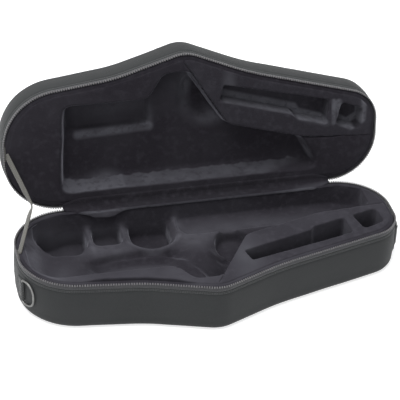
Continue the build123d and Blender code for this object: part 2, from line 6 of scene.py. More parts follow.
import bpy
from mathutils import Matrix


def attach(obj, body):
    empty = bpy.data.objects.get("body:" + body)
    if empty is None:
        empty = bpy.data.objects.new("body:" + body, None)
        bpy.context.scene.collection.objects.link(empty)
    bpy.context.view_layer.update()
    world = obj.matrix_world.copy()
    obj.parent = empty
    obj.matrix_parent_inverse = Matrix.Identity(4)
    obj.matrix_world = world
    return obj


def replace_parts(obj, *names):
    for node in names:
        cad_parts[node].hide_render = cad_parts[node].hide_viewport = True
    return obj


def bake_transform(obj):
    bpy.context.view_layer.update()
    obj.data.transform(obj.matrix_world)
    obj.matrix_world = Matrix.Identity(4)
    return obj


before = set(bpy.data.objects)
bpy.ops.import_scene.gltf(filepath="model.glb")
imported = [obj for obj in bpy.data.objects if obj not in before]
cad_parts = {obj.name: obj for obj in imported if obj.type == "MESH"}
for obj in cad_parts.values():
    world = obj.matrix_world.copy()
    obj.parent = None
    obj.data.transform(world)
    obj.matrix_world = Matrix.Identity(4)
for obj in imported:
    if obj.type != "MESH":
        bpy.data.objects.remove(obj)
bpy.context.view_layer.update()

# %% [markdown]
# A photograph of an object fixes the camera: where it stood, how far off, and how long its lens was.
# The azimuth, elevation and distance here come from fitting the outline of both halves, and the
# slight roll is the photographer's. A long lens keeps the perspective as flat as it is there.

# %% Camera
import math

import bmesh
import bpy
import numpy as np
from mathutils import Matrix, Vector, noise

azimuth, elevation, roll = (math.radians(a) for a in (-14.75, 34.67, 2.445))
aim, distance = Vector((-0.0046, 0.0764, 0.1187)), 2.8566
back = Vector((math.sin(azimuth) * math.cos(elevation), -math.cos(azimuth) * math.cos(elevation),
               math.sin(elevation)))
level = (-back).cross(Vector((0, 0, 1))).normalized()
upright = level.cross(-back)
cam_right = level * math.cos(roll) + upright * math.sin(roll)
cam_up = upright * math.cos(roll) - level * math.sin(roll)
camera = bpy.data.objects.new("camera", bpy.data.cameras.new("camera"))
bpy.context.scene.collection.objects.link(camera)
turn = Matrix((cam_right, cam_up, back)).transposed().to_4x4()
camera.matrix_world = Matrix.Translation(aim + back * distance) @ turn
camera.data.lens = 150.4
camera.data.sensor_width = 36
bpy.context.scene.camera = camera
print("camera at", [round(v, 3) for v in camera.location])

# %% [markdown]
# A product photograph is lit by large soft lamps over the table. One big softbox above gives the tops
# their light and leaves the deep pockets dark, which is what makes the lining readable. Weaker lamps
# in front and at both sides open the walls.

# %% Lamps
scene = bpy.context.scene
scene.view_settings.view_transform = "Standard"


def softbox(name, place, towards, size, power):
    """An area lamp aimed at a point."""
    lamp = bpy.data.lights.new(name, "AREA")
    lamp.shape, lamp.size, lamp.size_y, lamp.energy = "RECTANGLE", size[0], size[1], power
    holder = bpy.data.objects.new(name, lamp)
    holder.location = place
    holder.rotation_mode = "QUATERNION"
    holder.rotation_quaternion = (Vector(towards) - Vector(place)).to_track_quat("-Z", "Y")
    scene.collection.objects.link(holder)


softbox("top_softbox", (-0.5, -0.2, 2.3), (0, 0.05, 0.1), (2.0, 1.5), 56)
softbox("front_softbox", (-1.2, -2.6, 1.3), (0, 0, 0.1), (1.6, 1.0), 21)
softbox("right_softbox", (2.4, -0.3, 1.4), (0, 0, 0.1), (1.0, 1.0), 5.5)
softbox("left_softbox", (-2.4, -0.2, 0.9), (0, 0, 0.05), (0.8, 0.8), 5.5)
print("lamps", [lamp.name for lamp in bpy.data.lights])

# %% [markdown]
# Materials and the world are made of nodes. One helper adds a node, sets its values and links what
# comes from other nodes, and a second one does sums. The first thing they serve is to know where a ray
# comes straight from the camera, because there a background may look brighter than it lights.

# %% Helpers for nodes
def feed(tree, node, inputs):
    """Fills a node's inputs, by name or by place: a socket is linked, any other value is set."""
    for place, value in inputs.items():
        if isinstance(value, bpy.types.NodeSocket):
            tree.links.new(value, node.inputs[place])
        else:
            node.inputs[place].default_value = value


def add_node(tree, kind, inputs=None, **settings):
    """A new shader node with its settings and its inputs."""
    node = tree.nodes.new("ShaderNode" + kind)
    for setting, value in settings.items():
        setattr(node, setting, value)
    feed(tree, node, inputs or {})
    return node


def math_node(tree, operation, first, second=None):
    """The output of one maths node, fed by sockets or numbers."""
    inputs = {0: first} if second is None else {0: first, 1: second}
    return add_node(tree, "Math", inputs, operation=operation).outputs[0]


def seen_by_camera(tree):
    """One where a ray comes straight from the camera, or by a mirror or through glass."""
    ray = add_node(tree, "LightPath").outputs
    seen = math_node(tree, "MAXIMUM", ray["Is Camera Ray"], ray["Is Glossy Ray"])
    return math_node(tree, "MAXIMUM", seen, ray["Is Transmission Ray"])


# %% [markdown]
# The case stands on a pale floor before a white background. To the camera alone both are lifted to
# white, so that the dark case doesn't pick up more light than a real table would send back.

# %% Floor and background
world = bpy.data.worlds.new("studio")
scene.world = world
world.use_nodes = True
sky = world.node_tree
plain = sky.nodes["Background"]
feed(sky, plain, {"Color": (0.95, 0.97, 1.0, 1), "Strength": 0.50})
white = add_node(sky, "Background", {"Color": (1, 1, 1, 1)})
either = add_node(sky, "MixShader", {0: seen_by_camera(sky), 1: plain.outputs[0], 2: white.outputs[0]})
feed(sky, sky.nodes["World Output"], {"Surface": either.outputs[0]})

floor_look = bpy.data.materials.new("pale_floor")
floor_look.use_nodes = True
tree = floor_look.node_tree
paint = tree.nodes["Principled BSDF"]
feed(tree, paint, {"Base Color": (0.72, 0.72, 0.72, 1), "Roughness": 0.9, "Specular IOR Level": 0.0})
lift = add_node(tree, "Emission", {"Strength": 0.62})
both = add_node(tree, "AddShader", {0: paint.outputs[0], 1: lift.outputs[0]})
which = add_node(tree, "MixShader", {0: seen_by_camera(tree), 1: paint.outputs[0], 2: both.outputs[0]})
feed(tree, tree.nodes["Material Output"], {"Surface": which.outputs[0]})
bpy.ops.mesh.primitive_plane_add(size=8, location=(0, 0, -0.0006))
floor = bpy.context.object
floor.name = "floor"
floor.data.materials.append(floor_look)
print("floor at", floor.location.z, "m")

# %% [markdown]
# Each finish starts as one principled shader with its own colour and roughness. Two small helpers
# then do for every material what a weaver or a moulder does: one varies the colour softly, and the
# other raises a grain or a weave on the surface. Constant values go straight on the sockets.

# %% Helpers for finishes
def finish(name, colour, roughness, **values):
    """A principled material. Further sockets are named with _ for a space."""
    look = bpy.data.materials.new(name)
    look.use_nodes = True
    inputs = {"Base Color": (*colour, 1), "Roughness": roughness}
    inputs.update({socket.replace("_", " "): value for socket, value in values.items()})
    feed(look.node_tree, look.node_tree.nodes["Principled BSDF"], inputs)
    return look


def noise_value(tree, scale, detail=2.0, stretch=(1, 1, 1)):
    """Soft noise of that many cells to the metre."""
    spot = add_node(tree, "TexCoord").outputs["Object"]
    mapping = add_node(tree, "Mapping", {"Scale": stretch, "Vector": spot})
    cloud = add_node(tree, "TexNoise", {"Scale": scale, "Detail": detail, "Vector": mapping.outputs[0]})
    return cloud.outputs["Fac"]


def weave_value(tree, pitch):
    """Over-and-under relief of two sets of threads, with their pitch in metres, on the UV map."""
    split = add_node(tree, "SeparateXYZ", {0: add_node(tree, "TexCoord").outputs["UV"]})
    waves = [math_node(tree, "SINE", math_node(tree, "MULTIPLY", split.outputs[axis], math.pi / pitch))
             for axis in "XY"]
    return math_node(tree, "MULTIPLY", *waves)


def mottle(look, value, low, high, first, second):
    """Lets a value between low and high turn the base colour from the first to the second."""
    tree = look.node_tree
    base = tree.nodes["Principled BSDF"].inputs["Base Color"]
    before = base.links[0].from_socket if base.is_linked else (*first, 1)
    ramp = add_node(tree, "MapRange", {"From Min": low, "From Max": high, "Value": value})
    mix = add_node(tree, "Mix", {"A": before, "B": (*second, 1), "Factor": ramp.outputs[0]}, data_type="RGBA")
    tree.links.new(mix.outputs["Result"], base)


def relief(look, value, depth, strength=1.0):
    """Raises the surface by a value, over any relief it already has."""
    tree = look.node_tree
    normal = tree.nodes["Principled BSDF"].inputs["Normal"]
    inputs = {"Distance": depth, "Strength": strength, "Height": value}
    if normal.is_linked:
        inputs["Normal"] = normal.links[0].from_socket
    tree.links.new(add_node(tree, "Bump", inputs).outputs["Normal"], normal)


# %% [markdown]
# The outside is a close-woven nylon with a dull back coating: dark grey, a touch cooler than black,
# with no gloss and a thread that only shows close up. Large soft clouds in the colour stand for the
# way such cloth is rubbed and handled.

# %% Nylon and thread
nylon = finish("case_nylon", (0.0165, 0.0182, 0.0188), 0.67, Specular_IOR_Level=0.24, Sheen_Weight=0.055,
               Sheen_Roughness=0.5)
nylon_tree = nylon.node_tree
mottle(nylon, noise_value(nylon_tree, 9, 3), 0.35, 0.7, (0.0150, 0.0166, 0.0173),
       (0.0190, 0.0206, 0.0214))
mottle(nylon, noise_value(nylon_tree, 420, 1), 0.3, 0.8, None, (0.0215, 0.0228, 0.0236))
relief(nylon, noise_value(nylon_tree, 26, 2), 0.0012, 0.35)
relief(nylon, weave_value(nylon_tree, 0.0011), 0.00012, 0.8)
thread = finish("seam_thread", (0.042, 0.045, 0.046), 0.5, Sheen_Weight=0.2)
relief(thread, noise_value(thread.node_tree, 1800, 1), 0.0001)
print("nodes in the nylon", len(nylon_tree.nodes))

# %% [markdown]
# The lining is short plush over moulded foam. Its pile drinks the light where it is seen head on and
# gives some back at a glance, which is what sheen is for. A value is painted on the lining's points
# later. Part of it is brushed pile, where a hand has brushed the pile up or laid it down. Part of it is
# painted light and painted shade: paler on lit rims and walls and in shadowed pockets, deeper on walls
# in shade. Here it mixes in a paler or a deeper colour, broken up by noise so that no stroke has a
# clean edge. Two more noises break the colour up, one at the size of finger marks and one at the size
# of the pile's own tufts.

# %% Plush
def plush_finish(name, dark, light, pale_pile_and_painted_light, sheen):
    """Short pile with soft clouds of colour, and strokes of brushed pile, painted light and painted shade."""
    look = finish(name, dark, 0.95, Specular_IOR_Level=0.08, Sheen_Weight=sheen, Sheen_Roughness=0.34,
                  Sheen_Tint=(0.66, 0.66, 0.76, 1))
    tree = look.node_tree
    mottle(look, noise_value(tree, 11, 3), 0.44, 0.68, dark, light)
    # This painted value is brushed pile in part, and painted light where it is above zero.
    brushed_pile_and_painted_light = add_node(tree, "Attribute", attribute_name="brushed_pile_and_painted_light").outputs["Fac"]
    broken = math_node(tree, "MULTIPLY", noise_value(tree, 34, 4), 1.1)
    pile_and_painted_light_mix = math_node(tree, "MULTIPLY", brushed_pile_and_painted_light, math_node(tree, "ADD", broken, 0.35))
    mottle(look, pile_and_painted_light_mix, 0.05, 0.95, None, pale_pile_and_painted_light)
    # Where the value is below zero, a deeper colour is mixed in as painted shade.
    mottle(look, math_node(tree, "MULTIPLY", brushed_pile_and_painted_light, -1.0), 0.0, 1.0, None, tuple(0.45 * c for c in dark))
    mottle(look, noise_value(tree, 95, 4), 0.5, 0.8, None, tuple(1.3 * c for c in light))
    mottle(look, noise_value(tree, 1300, 2), 0.45, 0.95, None, tuple(1.6 * c for c in light))
    relief(look, noise_value(tree, 60, 3), 0.0012, 0.5)
    relief(look, noise_value(tree, 1400, 2), 0.0003, 0.55)
    return look


plush = plush_finish("plush_lining", (0.0195, 0.0178, 0.0225), (0.028, 0.0265, 0.032),
                     (0.070, 0.069, 0.080), 0.3)
# The lid's lining is the same plush as the base's, given a darker colour as painted shade.
lid_plush_painted_shade = plush_finish("lid_plush_lining", (0.0138, 0.0123, 0.0158), (0.0195, 0.0182, 0.0222),
                         (0.072, 0.072, 0.083), 0.3)
block_plush = plush_finish("block_velour", (0.026, 0.0245, 0.030), (0.034, 0.0325, 0.039),
                           (0.060, 0.060, 0.069), 0.25)
# The lid's block is the same velour as the base's, darker as painted shade, with a paler stroke colour for
# painted highlights on its walls.
lid_block_plush_painted_shade = plush_finish("lid_block_velour", (0.0175, 0.0162, 0.0202), (0.024, 0.0228, 0.0275),
                               (0.085, 0.085, 0.097), 0.22)
print("nodes in each plush", len(plush.node_tree.nodes))

# %% [markdown]
# Webbing, zip tape, metal, rubber and foam each get a finish of their own, because they meet side by
# side at the rim and the handle, where one grey for all would look like one moulding.

# %% Webbing, tape, metal, rubber and foam
def webbing_finish(name, colour, pale, rib):
    """Woven strap with ribs across it and a darker edge of thread between them."""
    look = finish(name, colour, 0.72, Specular_IOR_Level=0.3, Sheen_Weight=0.25, Sheen_Roughness=0.4)
    tree = look.node_tree
    weave = weave_value(tree, rib)
    mottle(look, weave, -0.6, 1.0, colour, pale)
    relief(look, weave, 0.0004, 0.9)
    return look


stay_webbing = webbing_finish("stay_webbing", (0.085, 0.082, 0.073), (0.125, 0.121, 0.109), 0.0022)
tab_webbing = webbing_finish("tab_webbing", (0.032, 0.034, 0.034), (0.075, 0.078, 0.078), 0.0026)
tape_weave = webbing_finish("zip_tape_weave", (0.036, 0.036, 0.039), (0.056, 0.056, 0.060), 0.0014)
teeth_plastic = finish("zip_teeth_plastic", (0.12, 0.115, 0.12), 0.38, Specular_IOR_Level=0.5)
mottle(teeth_plastic, noise_value(teeth_plastic.node_tree, 240, 1), 0.3, 0.7, (0.10, 0.096, 0.10),
       (0.15, 0.145, 0.15))


def metal_finish(name, colour, roughness, wear):
    """Plated metal with fine scratches and slightly uneven polish."""
    look = finish(name, colour, roughness, Metallic=1.0)
    tree = look.node_tree
    cloud = noise_value(tree, 90, 3)
    mottle(look, cloud, 0.4, 0.75, colour, wear)
    polish = add_node(tree, "MapRange", {"To Min": roughness * 0.8, "To Max": roughness * 1.35,
                                         "Value": cloud})
    tree.links.new(polish.outputs[0], tree.nodes["Principled BSDF"].inputs["Roughness"])
    relief(look, noise_value(tree, 900, 2, (1, 1, 0.15)), 0.00008, 0.6)
    return look


ring_nickel = metal_finish("ring_nickel", (0.19, 0.19, 0.187), 0.40, (0.13, 0.13, 0.127))
zip_nickel = metal_finish("zip_nickel", (0.22, 0.22, 0.22), 0.4, (0.15, 0.15, 0.15))
stop_metal = metal_finish("zip_stop_metal", (0.055, 0.055, 0.055), 0.55, (0.04, 0.04, 0.04))
bracket_steel = metal_finish("bracket_steel", (0.30, 0.30, 0.31), 0.42, (0.22, 0.22, 0.23))
handle_steel = metal_finish("handle_steel", (0.16, 0.16, 0.17), 0.5, (0.11, 0.11, 0.12))
grip_rubber = finish("grip_rubber", (0.020, 0.021, 0.022), 0.66, Specular_IOR_Level=0.4)
relief(grip_rubber, noise_value(grip_rubber.node_tree, 1500, 2), 0.0002, 0.7)
mottle(grip_rubber, noise_value(grip_rubber.node_tree, 60, 3), 0.4, 0.8, (0.018, 0.019, 0.020),
       (0.030, 0.031, 0.032))
foam_board = finish("foam_board", (0.022, 0.0205, 0.025), 0.95)
relief(foam_board, noise_value(foam_board.node_tree, 500, 2), 0.0005, 0.8)
print("finishes", len(bpy.data.materials))

# %% [markdown]
# Both halves share one plan: a straight hinge side, two round ends and a bulge for the bell. A
# tailor would cut every strip of this case from that one line, so it is drawn once here, as corner
# points with a radius each, and sampled closely with its outward direction.

# %% The plan of the case, in millimetres
case_rear, rim_height = 132.0, 91.0
corners = [(-330, 132), (-330, -74), (-135.5, -98.6), (-12.9, -135.4), (96.8, -89.2), (330, -25),
           (330, 132)]
corner_radii = [95, 100, 300, 55, 500, 60, 85]


def rounded_line(points, radii, step):
    """Points along a closed line whose corners are rounded, starting after the last corner."""
    line = []
    count = len(points)
    for i in range(count):
        before, here, after = (np.array(points[k % count], float) for k in (i - 1, i, i + 1))
        into, out = here - before, after - here
        into, out = into / np.linalg.norm(into), out / np.linalg.norm(out)
        bend = math.acos(np.clip(into @ out, -1, 1))
        side = np.sign(into[0] * out[1] - into[1] * out[0])
        arm = -radii[i] * side * np.array((-into[1], into[0]))
        middle = here - into * radii[i] * math.tan(bend / 2) - arm
        steps = max(3, round(radii[i] * bend / step))
        for turned in side * bend * np.arange(steps + 1) / steps:
            c, s = math.cos(turned), math.sin(turned)
            line.append(middle + (arm[0] * c - arm[1] * s, arm[0] * s + arm[1] * c))
    return np.array(line)


def run_along(points):
    """How far along a line each of its points lies."""
    return np.r_[0, np.cumsum(np.linalg.norm(np.diff(points, axis=0), axis=1))]


def resample(line, step):
    """The same closed line with evenly spaced points, from the middle of the hinge side."""
    line = np.vstack([line, line[:1]])
    run = run_along(line)
    at = np.linspace(0, run[-1], round(run[-1] / step), endpoint=False)
    return np.column_stack([np.interp(at, run, line[:, k]) for k in (0, 1)]), run[-1]


plan, plan_length = resample(np.vstack([[(0, case_rear)], rounded_line(corners, corner_radii, 1.5)]), 1.0)
plan_run = np.arange(len(plan)) * plan_length / len(plan)
ahead = np.roll(plan, -2, 0) - np.roll(plan, 2, 0)
plan_out = np.column_stack([ahead[:, 1], -ahead[:, 0]]) / np.linalg.norm(ahead, axis=1)[:, None]
print("plan", len(plan), "points, length", round(plan_length), "mm, box",
      plan.min(0).round(1), plan.max(0).round(1))


def on_plan(run, inset):
    """Points of the plan at these distances along it, moved inwards."""
    run = np.asarray(run) % plan_length
    full = np.r_[plan_run, plan_length]
    place, out = ([np.interp(run, full, np.r_[line[:, k], line[0, k]]) for k in (0, 1)]
                  for line in (plan, plan_out))
    inset = np.asarray(inset)
    return np.column_stack([place[0] - out[0] * inset, place[1] - out[1] * inset])


def run_at(x):
    """How far along the plan the hinge side has that x. It runs leftwards from its middle."""
    return -x if x <= 0 else plan_length - x


zip_start, zip_end = run_at(-210), run_at(220)

# %% [markdown]
# A half is drawn rim up, with depths below the rim. The base only has to be lifted, while the lid is
# turned over and swung open by 99 degrees, so two small functions place any points of either half.

# %% Placing a half
lid_open = math.radians(99)
lid_cos, lid_sin = math.cos(lid_open), math.sin(lid_open)
lid_height = 70.0


def on_base(points):
    return np.asarray(points, float) + (0, 0, rim_height)


def lid_side(from_hinge, into_lid):
    """(y, z) of a place in the open lid, from its distance to the hinge and its depth."""
    return (case_rear - lid_cos * from_hinge + lid_sin * into_lid,
            rim_height + lid_sin * from_hinge + lid_cos * into_lid)


def on_lid(points):
    points = np.asarray(points, float)
    return np.column_stack([points[:, 0], *lid_side(case_rear - points[:, 1], -points[:, 2])])


halves = {"base": (on_base, rim_height), "lid": (on_lid, lid_height)}
print("the lid's far rim is at", [round(v, 1) for v in lid_side(case_rear - plan[:, 1].min(), 0)])

# %% [markdown]
# Cloth, tape and wire are all rows of points with faces between them. So one helper turns points into
# an object, two lay the faces, and one gives the soft noise that keeps cloth from looking machined.

# %% Pieces from rows of points
def piece(name, points, faces, look, cloth=None, smooth=True):
    """A mesh object from points in millimetres. cloth holds its own coordinates in metres."""
    mesh = bpy.data.meshes.new(name)
    mesh.from_pydata((np.asarray(points) / 1000).tolist(), [], faces)
    if cloth is not None:
        layer = mesh.uv_layers.new(name="cloth")
        index = np.zeros(len(mesh.loops), int)
        mesh.loops.foreach_get("vertex_index", index)
        layer.data.foreach_set("uv", np.asarray(cloth)[index].astype(np.float32).ravel())
    tidy = bmesh.new()
    tidy.from_mesh(mesh)
    bmesh.ops.recalc_face_normals(tidy, faces=tidy.faces)
    tidy.to_mesh(mesh)
    tidy.free()
    mesh.polygons.foreach_set("use_smooth", [smooth] * len(mesh.polygons))
    mesh.materials.append(look)
    made = bpy.data.objects.new(name, mesh)
    bpy.context.scene.collection.objects.link(made)
    return made


def rows_to_faces(count, across, wrap=True):
    """Quads between rows of points, each row closed on itself if it wraps."""
    faces = []
    for r in range(count - 1):
        for k in range(across if wrap else across - 1):
            n = (k + 1) % across
            faces.append((r * across + k, r * across + n, (r + 1) * across + n, (r + 1) * across + k))
    return faces


def capped_faces(count, across):
    """The same between closed rows, with a face over the first row and one over the last."""
    last = (count - 1) * across
    return rows_to_faces(count, across) + [tuple(range(across)), tuple(range(last, last + across))]


def ripple(x, y, z, size, seed):
    """Smooth noise from -1 to 1 at a point in millimetres, with bumps about that size."""
    return noise.noise(Vector((x / size + seed, y / size, z / size)))


# %% [markdown]
# Each half's cover is one skin of nylon drawn over the foam. It is folded at its upper edge and sewn
# down on the zip tape in two rows, leans in a little under the seam, fills out at half height and
# rounds off to a panel, flat under the base and slightly crowned on the lid. Rings of the plan at
# chosen insets and depths give exactly that, and a little noise takes the machine-made flatness off.

# %% Covers
ring_step = 4.0
ring_runs = np.arange(0, plan_length, plan_length / round(plan_length / ring_step))


def cover_profile(height):
    """(inset, depth) pairs from the hidden turned-in edge down to the edge of the panel."""
    rows = [(2.6, -10.6), (2.2, -10.0), (1.3, -9.9), (0.5, -10.3), (0.3, -11.2), (0.4, -12.6),
            (0.3, -14.2), (0.5, -15.4), (1.3, -16.1), (1.0, -16.9), (0.4, -18.2)]
    wall_top, rounding = 18.2, 14
    lowest = height - rounding
    for share in (0.08, 0.2, 0.35, 0.5, 0.65, 0.8, 0.92):
        rows.append((0.4 - 1.5 * math.sin(math.pi * share) ** 0.8, -wall_top - (lowest - wall_top) * share))
    for angle in range(0, 91, 10):
        a = math.radians(angle)
        rows.append((rounding - rounding * math.cos(a), -lowest - rounding * math.sin(a)))
    return rows


def cover_points(height, crown, seed):
    """Rows of points for a whole cover, and its cloth coordinates."""
    rows, cloth = [], []
    profile = cover_profile(height)
    for (inset, depth), down in zip(profile, run_along(profile)):
        soft = 0.0 if depth > -17 or depth <= -height + 1 else 1.0
        swell = np.array([soft * (0.55 * ripple(x, y, depth, 70, seed) + 0.25 * ripple(x, y, depth, 24, seed))
                          for x, y in on_plan(ring_runs, inset)])
        flat = np.ones(len(ring_runs))
        rows.append(np.column_stack([on_plan(ring_runs, inset - swell), flat * depth]))
        cloth.append(np.column_stack([ring_runs, flat * down]) / 1000)
    edge = rows[-1][:, :2]
    middle = np.array((0.0, 8.0))
    for share in (0.96, 0.9, 0.8, 0.68, 0.54, 0.4, 0.26, 0.12):
        ring = middle + (edge - middle) * share
        swell = crown * (1 - share ** 3)
        depth = np.array([-height - swell - 0.5 * crown * ripple(x, y, 0, 90, seed) for x, y in ring])
        rows.append(np.column_stack([ring, depth]))
        cloth.append((ring + 400) / 1000)
    return rows, cloth


crowns, seeds = {"base": 0.0, "lid": 2.2}, {"base": 11.0, "lid": 3.0}
for half, (place, height) in halves.items():
    rows, cloth = cover_points(height, crowns[half], seeds[half])
    across = len(ring_runs)
    faces = rows_to_faces(len(rows), across)
    faces.append(tuple(range((len(rows) - 1) * across, len(rows) * across)))
    cover = piece(half + "_nylon_cover", place(np.vstack(rows)), faces, nylon, np.vstack(cloth))
    wall = cover.modifiers.new("thickness", "SOLIDIFY")
    wall.thickness, wall.offset = 0.0008, -1
    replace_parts(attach(cover, half), half + "_cover")
    print(cover.name, "rows", len(rows), "faces", len(faces))

# %% [markdown]
# Two rows of lockstitch hold the folded nylon to the tape. A stitch is a short bead of thread that
# dives into the cloth at both ends, so one small tapered bead is made and set down again and again
# along the seam, which is cheaper than modelling one long thread and looks the same.

# %% Stitches along the seams
def bead(length, width, rise, sides=6):
    """Points and faces of a short tapered bead, long in X, wide in Z and rising in Y."""
    stations = [(-0.5, 0.35), (-0.3, 0.9), (0.3, 0.9), (0.5, 0.35)]
    turns = [2 * math.pi * k / sides for k in range(sides)]
    points = [(share * length, math.cos(a) * rise * girth, math.sin(a) * width / 2 * girth)
              for share, girth in stations for a in turns]
    return np.array(points), capped_faces(len(stations), sides)


def repeat(shape, origins, xs, ys, zs):
    """Copies of a small shape, each at its origin with its own three directions."""
    points, faces = shape
    made = (origins[:, None] + points[None, :, :1] * xs[:, None] + points[None, :, 1:2] * ys[:, None]
            + points[None, :, 2:] * zs[:, None])
    every = [tuple(i + n * len(points) for i in face) for n in range(len(origins)) for face in faces]
    return made.reshape(-1, 3), every


def along_rim(runs, inset, depth):
    """Origins and directions of things set along the rim: along it, outwards and up."""
    spot = on_plan(runs, inset)
    ahead = on_plan(np.asarray(runs) + 1, inset) - on_plan(np.asarray(runs) - 1, inset)
    ahead /= np.linalg.norm(ahead, axis=1)[:, None]
    flat = np.zeros(len(runs))
    origins = np.column_stack([spot, flat + depth])
    xs = np.column_stack([ahead, flat])
    ys = np.column_stack([ahead[:, 1], -ahead[:, 0], flat])
    zs = np.column_stack([flat, flat, flat + 1])
    return origins, xs, ys, zs


stitch = bead(3.0, 0.8, 0.35)
stitch_runs = np.arange(0, plan_length, 4.0)
seams = ((0.35, -12.6), (0.3, -14.9))
for half, (place, height) in halves.items():
    rows = [along_rim(stitch_runs, inset, depth) for inset, depth in seams]
    made, every = repeat(stitch, *(np.vstack(both_rows) for both_rows in zip(*rows)))
    sewn = piece(half + "_seam_stitches", place(made), every, thread)
    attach(sewn, half)
    print(sewn.name, len(every), "faces")

# %% [markdown]
# The zip's tape stands up out of the seam and carries one tooth after another along its free edge.
# The CAD model has one plain bead there. Each tooth is a small moulded block with a waist, and a half
# needs fewer than three hundred, so they are all made.

# %% Zip tape, teeth and stops
zip_runs = np.linspace(zip_start, zip_end, 420)
tape_profile = [(1.1, -12.4), (1.0, -8.0), (1.0, -3.4), (1.4, -2.9), (2.0, -3.1), (2.3, -3.6), (2.2, -8.0),
                (2.2, -12.4)]


def strip(name, profile, runs, place, look, change=None):
    """A closed strip of that profile along part of the rim, capped at both ends."""
    rows, cloth = [], []
    across = len(runs)
    for (inset, depth), down in zip(profile, run_along(profile)):
        insets, depths = np.full(across, float(inset)), np.full(across, float(depth))
        if change:
            insets, depths = change(runs, insets, depths)
        rows.append(np.column_stack([on_plan(runs, insets), depths]))
        cloth.append(np.column_stack([runs, np.full(across, down)]) / 1000)
    faces = rows_to_faces(len(rows), across, wrap=False)
    last = (len(rows) - 1) * across
    faces += [(k, last + k, last + k + 1, k + 1) for k in range(across - 1)]
    faces += [tuple(r * across + end for r in range(len(rows))) for end in (0, across - 1)]
    return piece(name, place(np.vstack(rows)), faces, look, np.vstack(cloth))


def moulded_tooth():
    """Points and faces of one zip tooth: a body with a narrower waist and a blunt head."""
    shape = bmesh.new()
    bmesh.ops.create_cube(shape, size=1)
    for corner in shape.verts:
        corner.co *= Vector((2.3, 2.7, 2.9))
    bmesh.ops.bevel(shape, geom=list(shape.edges), offset=0.42, segments=1, affect="EDGES")
    points = np.array([v.co for v in shape.verts])
    points[:, 0] *= np.where(points[:, 2] > 0, 0.86, 1.0)
    faces = [tuple(v.index for v in f.verts) for f in shape.faces]
    shape.free()
    return points, faces


def dress(made, look):
    """Gives an object that one finish."""
    made.data.materials.clear()
    made.data.materials.append(look)


tooth_pitch = 4.2
for half, (place, height) in halves.items():
    tape = strip(half + "_woven_zip_tape", tape_profile, zip_runs, place, tape_weave)
    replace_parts(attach(tape, half), half + "_zip_tape")
    shift = 0 if half == "base" else tooth_pitch / 2
    runs = np.arange(zip_start + 3 + shift, zip_end - 3, tooth_pitch)
    made, every = repeat(moulded_tooth(), *along_rim(runs, 1.6, -2.0))
    teeth = piece(half + "_zip_teeth_row", place(made), every, teeth_plastic, smooth=False)
    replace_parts(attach(teeth, half), half + "_zip_teeth")
    dress(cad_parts[half + "_zip_stops"], stop_metal)
    print(half, "zip teeth", len(runs))

# %% [markdown]
# Inside the cover stands the foam board that makes the half stiff. It is one ring of foam with a
# floor, its corners cut off as a knife leaves them. Nearly all of it is hidden, but a dark edge shows
# down in the gap between the zip and the lining, and the gap looks wrong without it.

# %% Foam board
def ring_rows(section):
    """Closed rows round the plan, one for each (inset, depth) of a section."""
    return [np.column_stack([on_plan(ring_runs, inset), np.full(len(ring_runs), depth)])
            for inset, depth in section]


for half, (place, height) in halves.items():
    low = -height + 1.6
    rows = ring_rows([(14.0, low), (3.4, low + 10.5), (2.9, -14.0), (3.2, -9.6), (4.2, -9.0), (9.0, -9.0),
                      (10.4, -9.8), (10.6, -30.0), (10.6, low + 14.0), (15.0, low + 9.0)])
    board = piece(half + "_foam_board", place(np.vstack(rows)), capped_faces(len(rows), len(ring_runs)),
                  foam_board)
    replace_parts(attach(board, half), half + "_shell")
    print(board.name, "rows", len(rows), "height", height)

# %% [markdown]
# The lining is foam moulded to the instrument, with plush heat-pressed over it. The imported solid
# already has every recess at its size, but with a machinist's edges. A fine voxel remesh turns it
# into an even skin, and smoothing rolls its edges as plush over foam rolls them. A thin pan is joined
# on behind it first, because foam that is thinner than the remesh would come out with holes.

# %% Soft copies of the lining foam
def baked(made):
    """Turns an object's modifiers into its own mesh."""
    done = bpy.data.meshes.new_from_object(made.evaluated_get(bpy.context.evaluated_depsgraph_get()))
    made.modifiers.clear()
    made.data = done


def backing_pan(half):
    """Points and faces of a thin pan that stands just inside the foam board."""
    place, height = halves[half]
    rows = ring_rows([(11.2, 8.5 - height), (11.2, -4.0), (13.4, -4.0), (13.4, 13.2 - height)])
    return place(np.vstack(rows)), capped_faces(len(rows), len(ring_runs))


def soft_copy(node, name, look, voxel, rounds, backing=None):
    """A new mesh object with the node's form, evenly meshed and rounded."""
    made = bpy.data.objects.new(name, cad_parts[node].data.copy())
    bpy.context.scene.collection.objects.link(made)
    if backing:
        joined = bmesh.new()
        joined.from_mesh(made.data)
        corners = [joined.verts.new(spot / 1000) for spot in backing[0]]
        for face in backing[1]:
            joined.faces.new([corners[k] for k in face])
        joined.to_mesh(made.data)
        joined.free()
    mesher = made.modifiers.new("remesh", "REMESH")
    mesher.mode, mesher.voxel_size = "VOXEL", voxel
    rounder = made.modifiers.new("round", "SMOOTH")
    rounder.factor, rounder.iterations = 0.5, rounds
    baked(made)
    dress(made, look)
    made.data.polygons.foreach_set("use_smooth", [True] * len(made.data.polygons))
    print(name, len(made.data.vertices), "vertices")
    return made


# %% [markdown]
# Everything that is worked into a lining is told where on its half it lies: how far along the hinge,
# how far from it, and how deep below the rim. The same words then serve the lying base and the
# standing lid, and a place can be read off the photograph against the case's edges.

# %% Where a point lies on its half
def point_values(made, what):
    """One of the mesh's own values for each of its points, in metres: its place or its normal."""
    values = np.zeros(len(made.data.vertices) * 3)
    made.data.vertices.foreach_get(what, values)
    return values.reshape(-1, 3)


def vertices_of(made):
    return point_values(made, "co") * 1000


def set_vertices(made, points):
    made.data.vertices.foreach_set("co", (points / 1000).astype(np.float32).ravel())
    made.data.update()


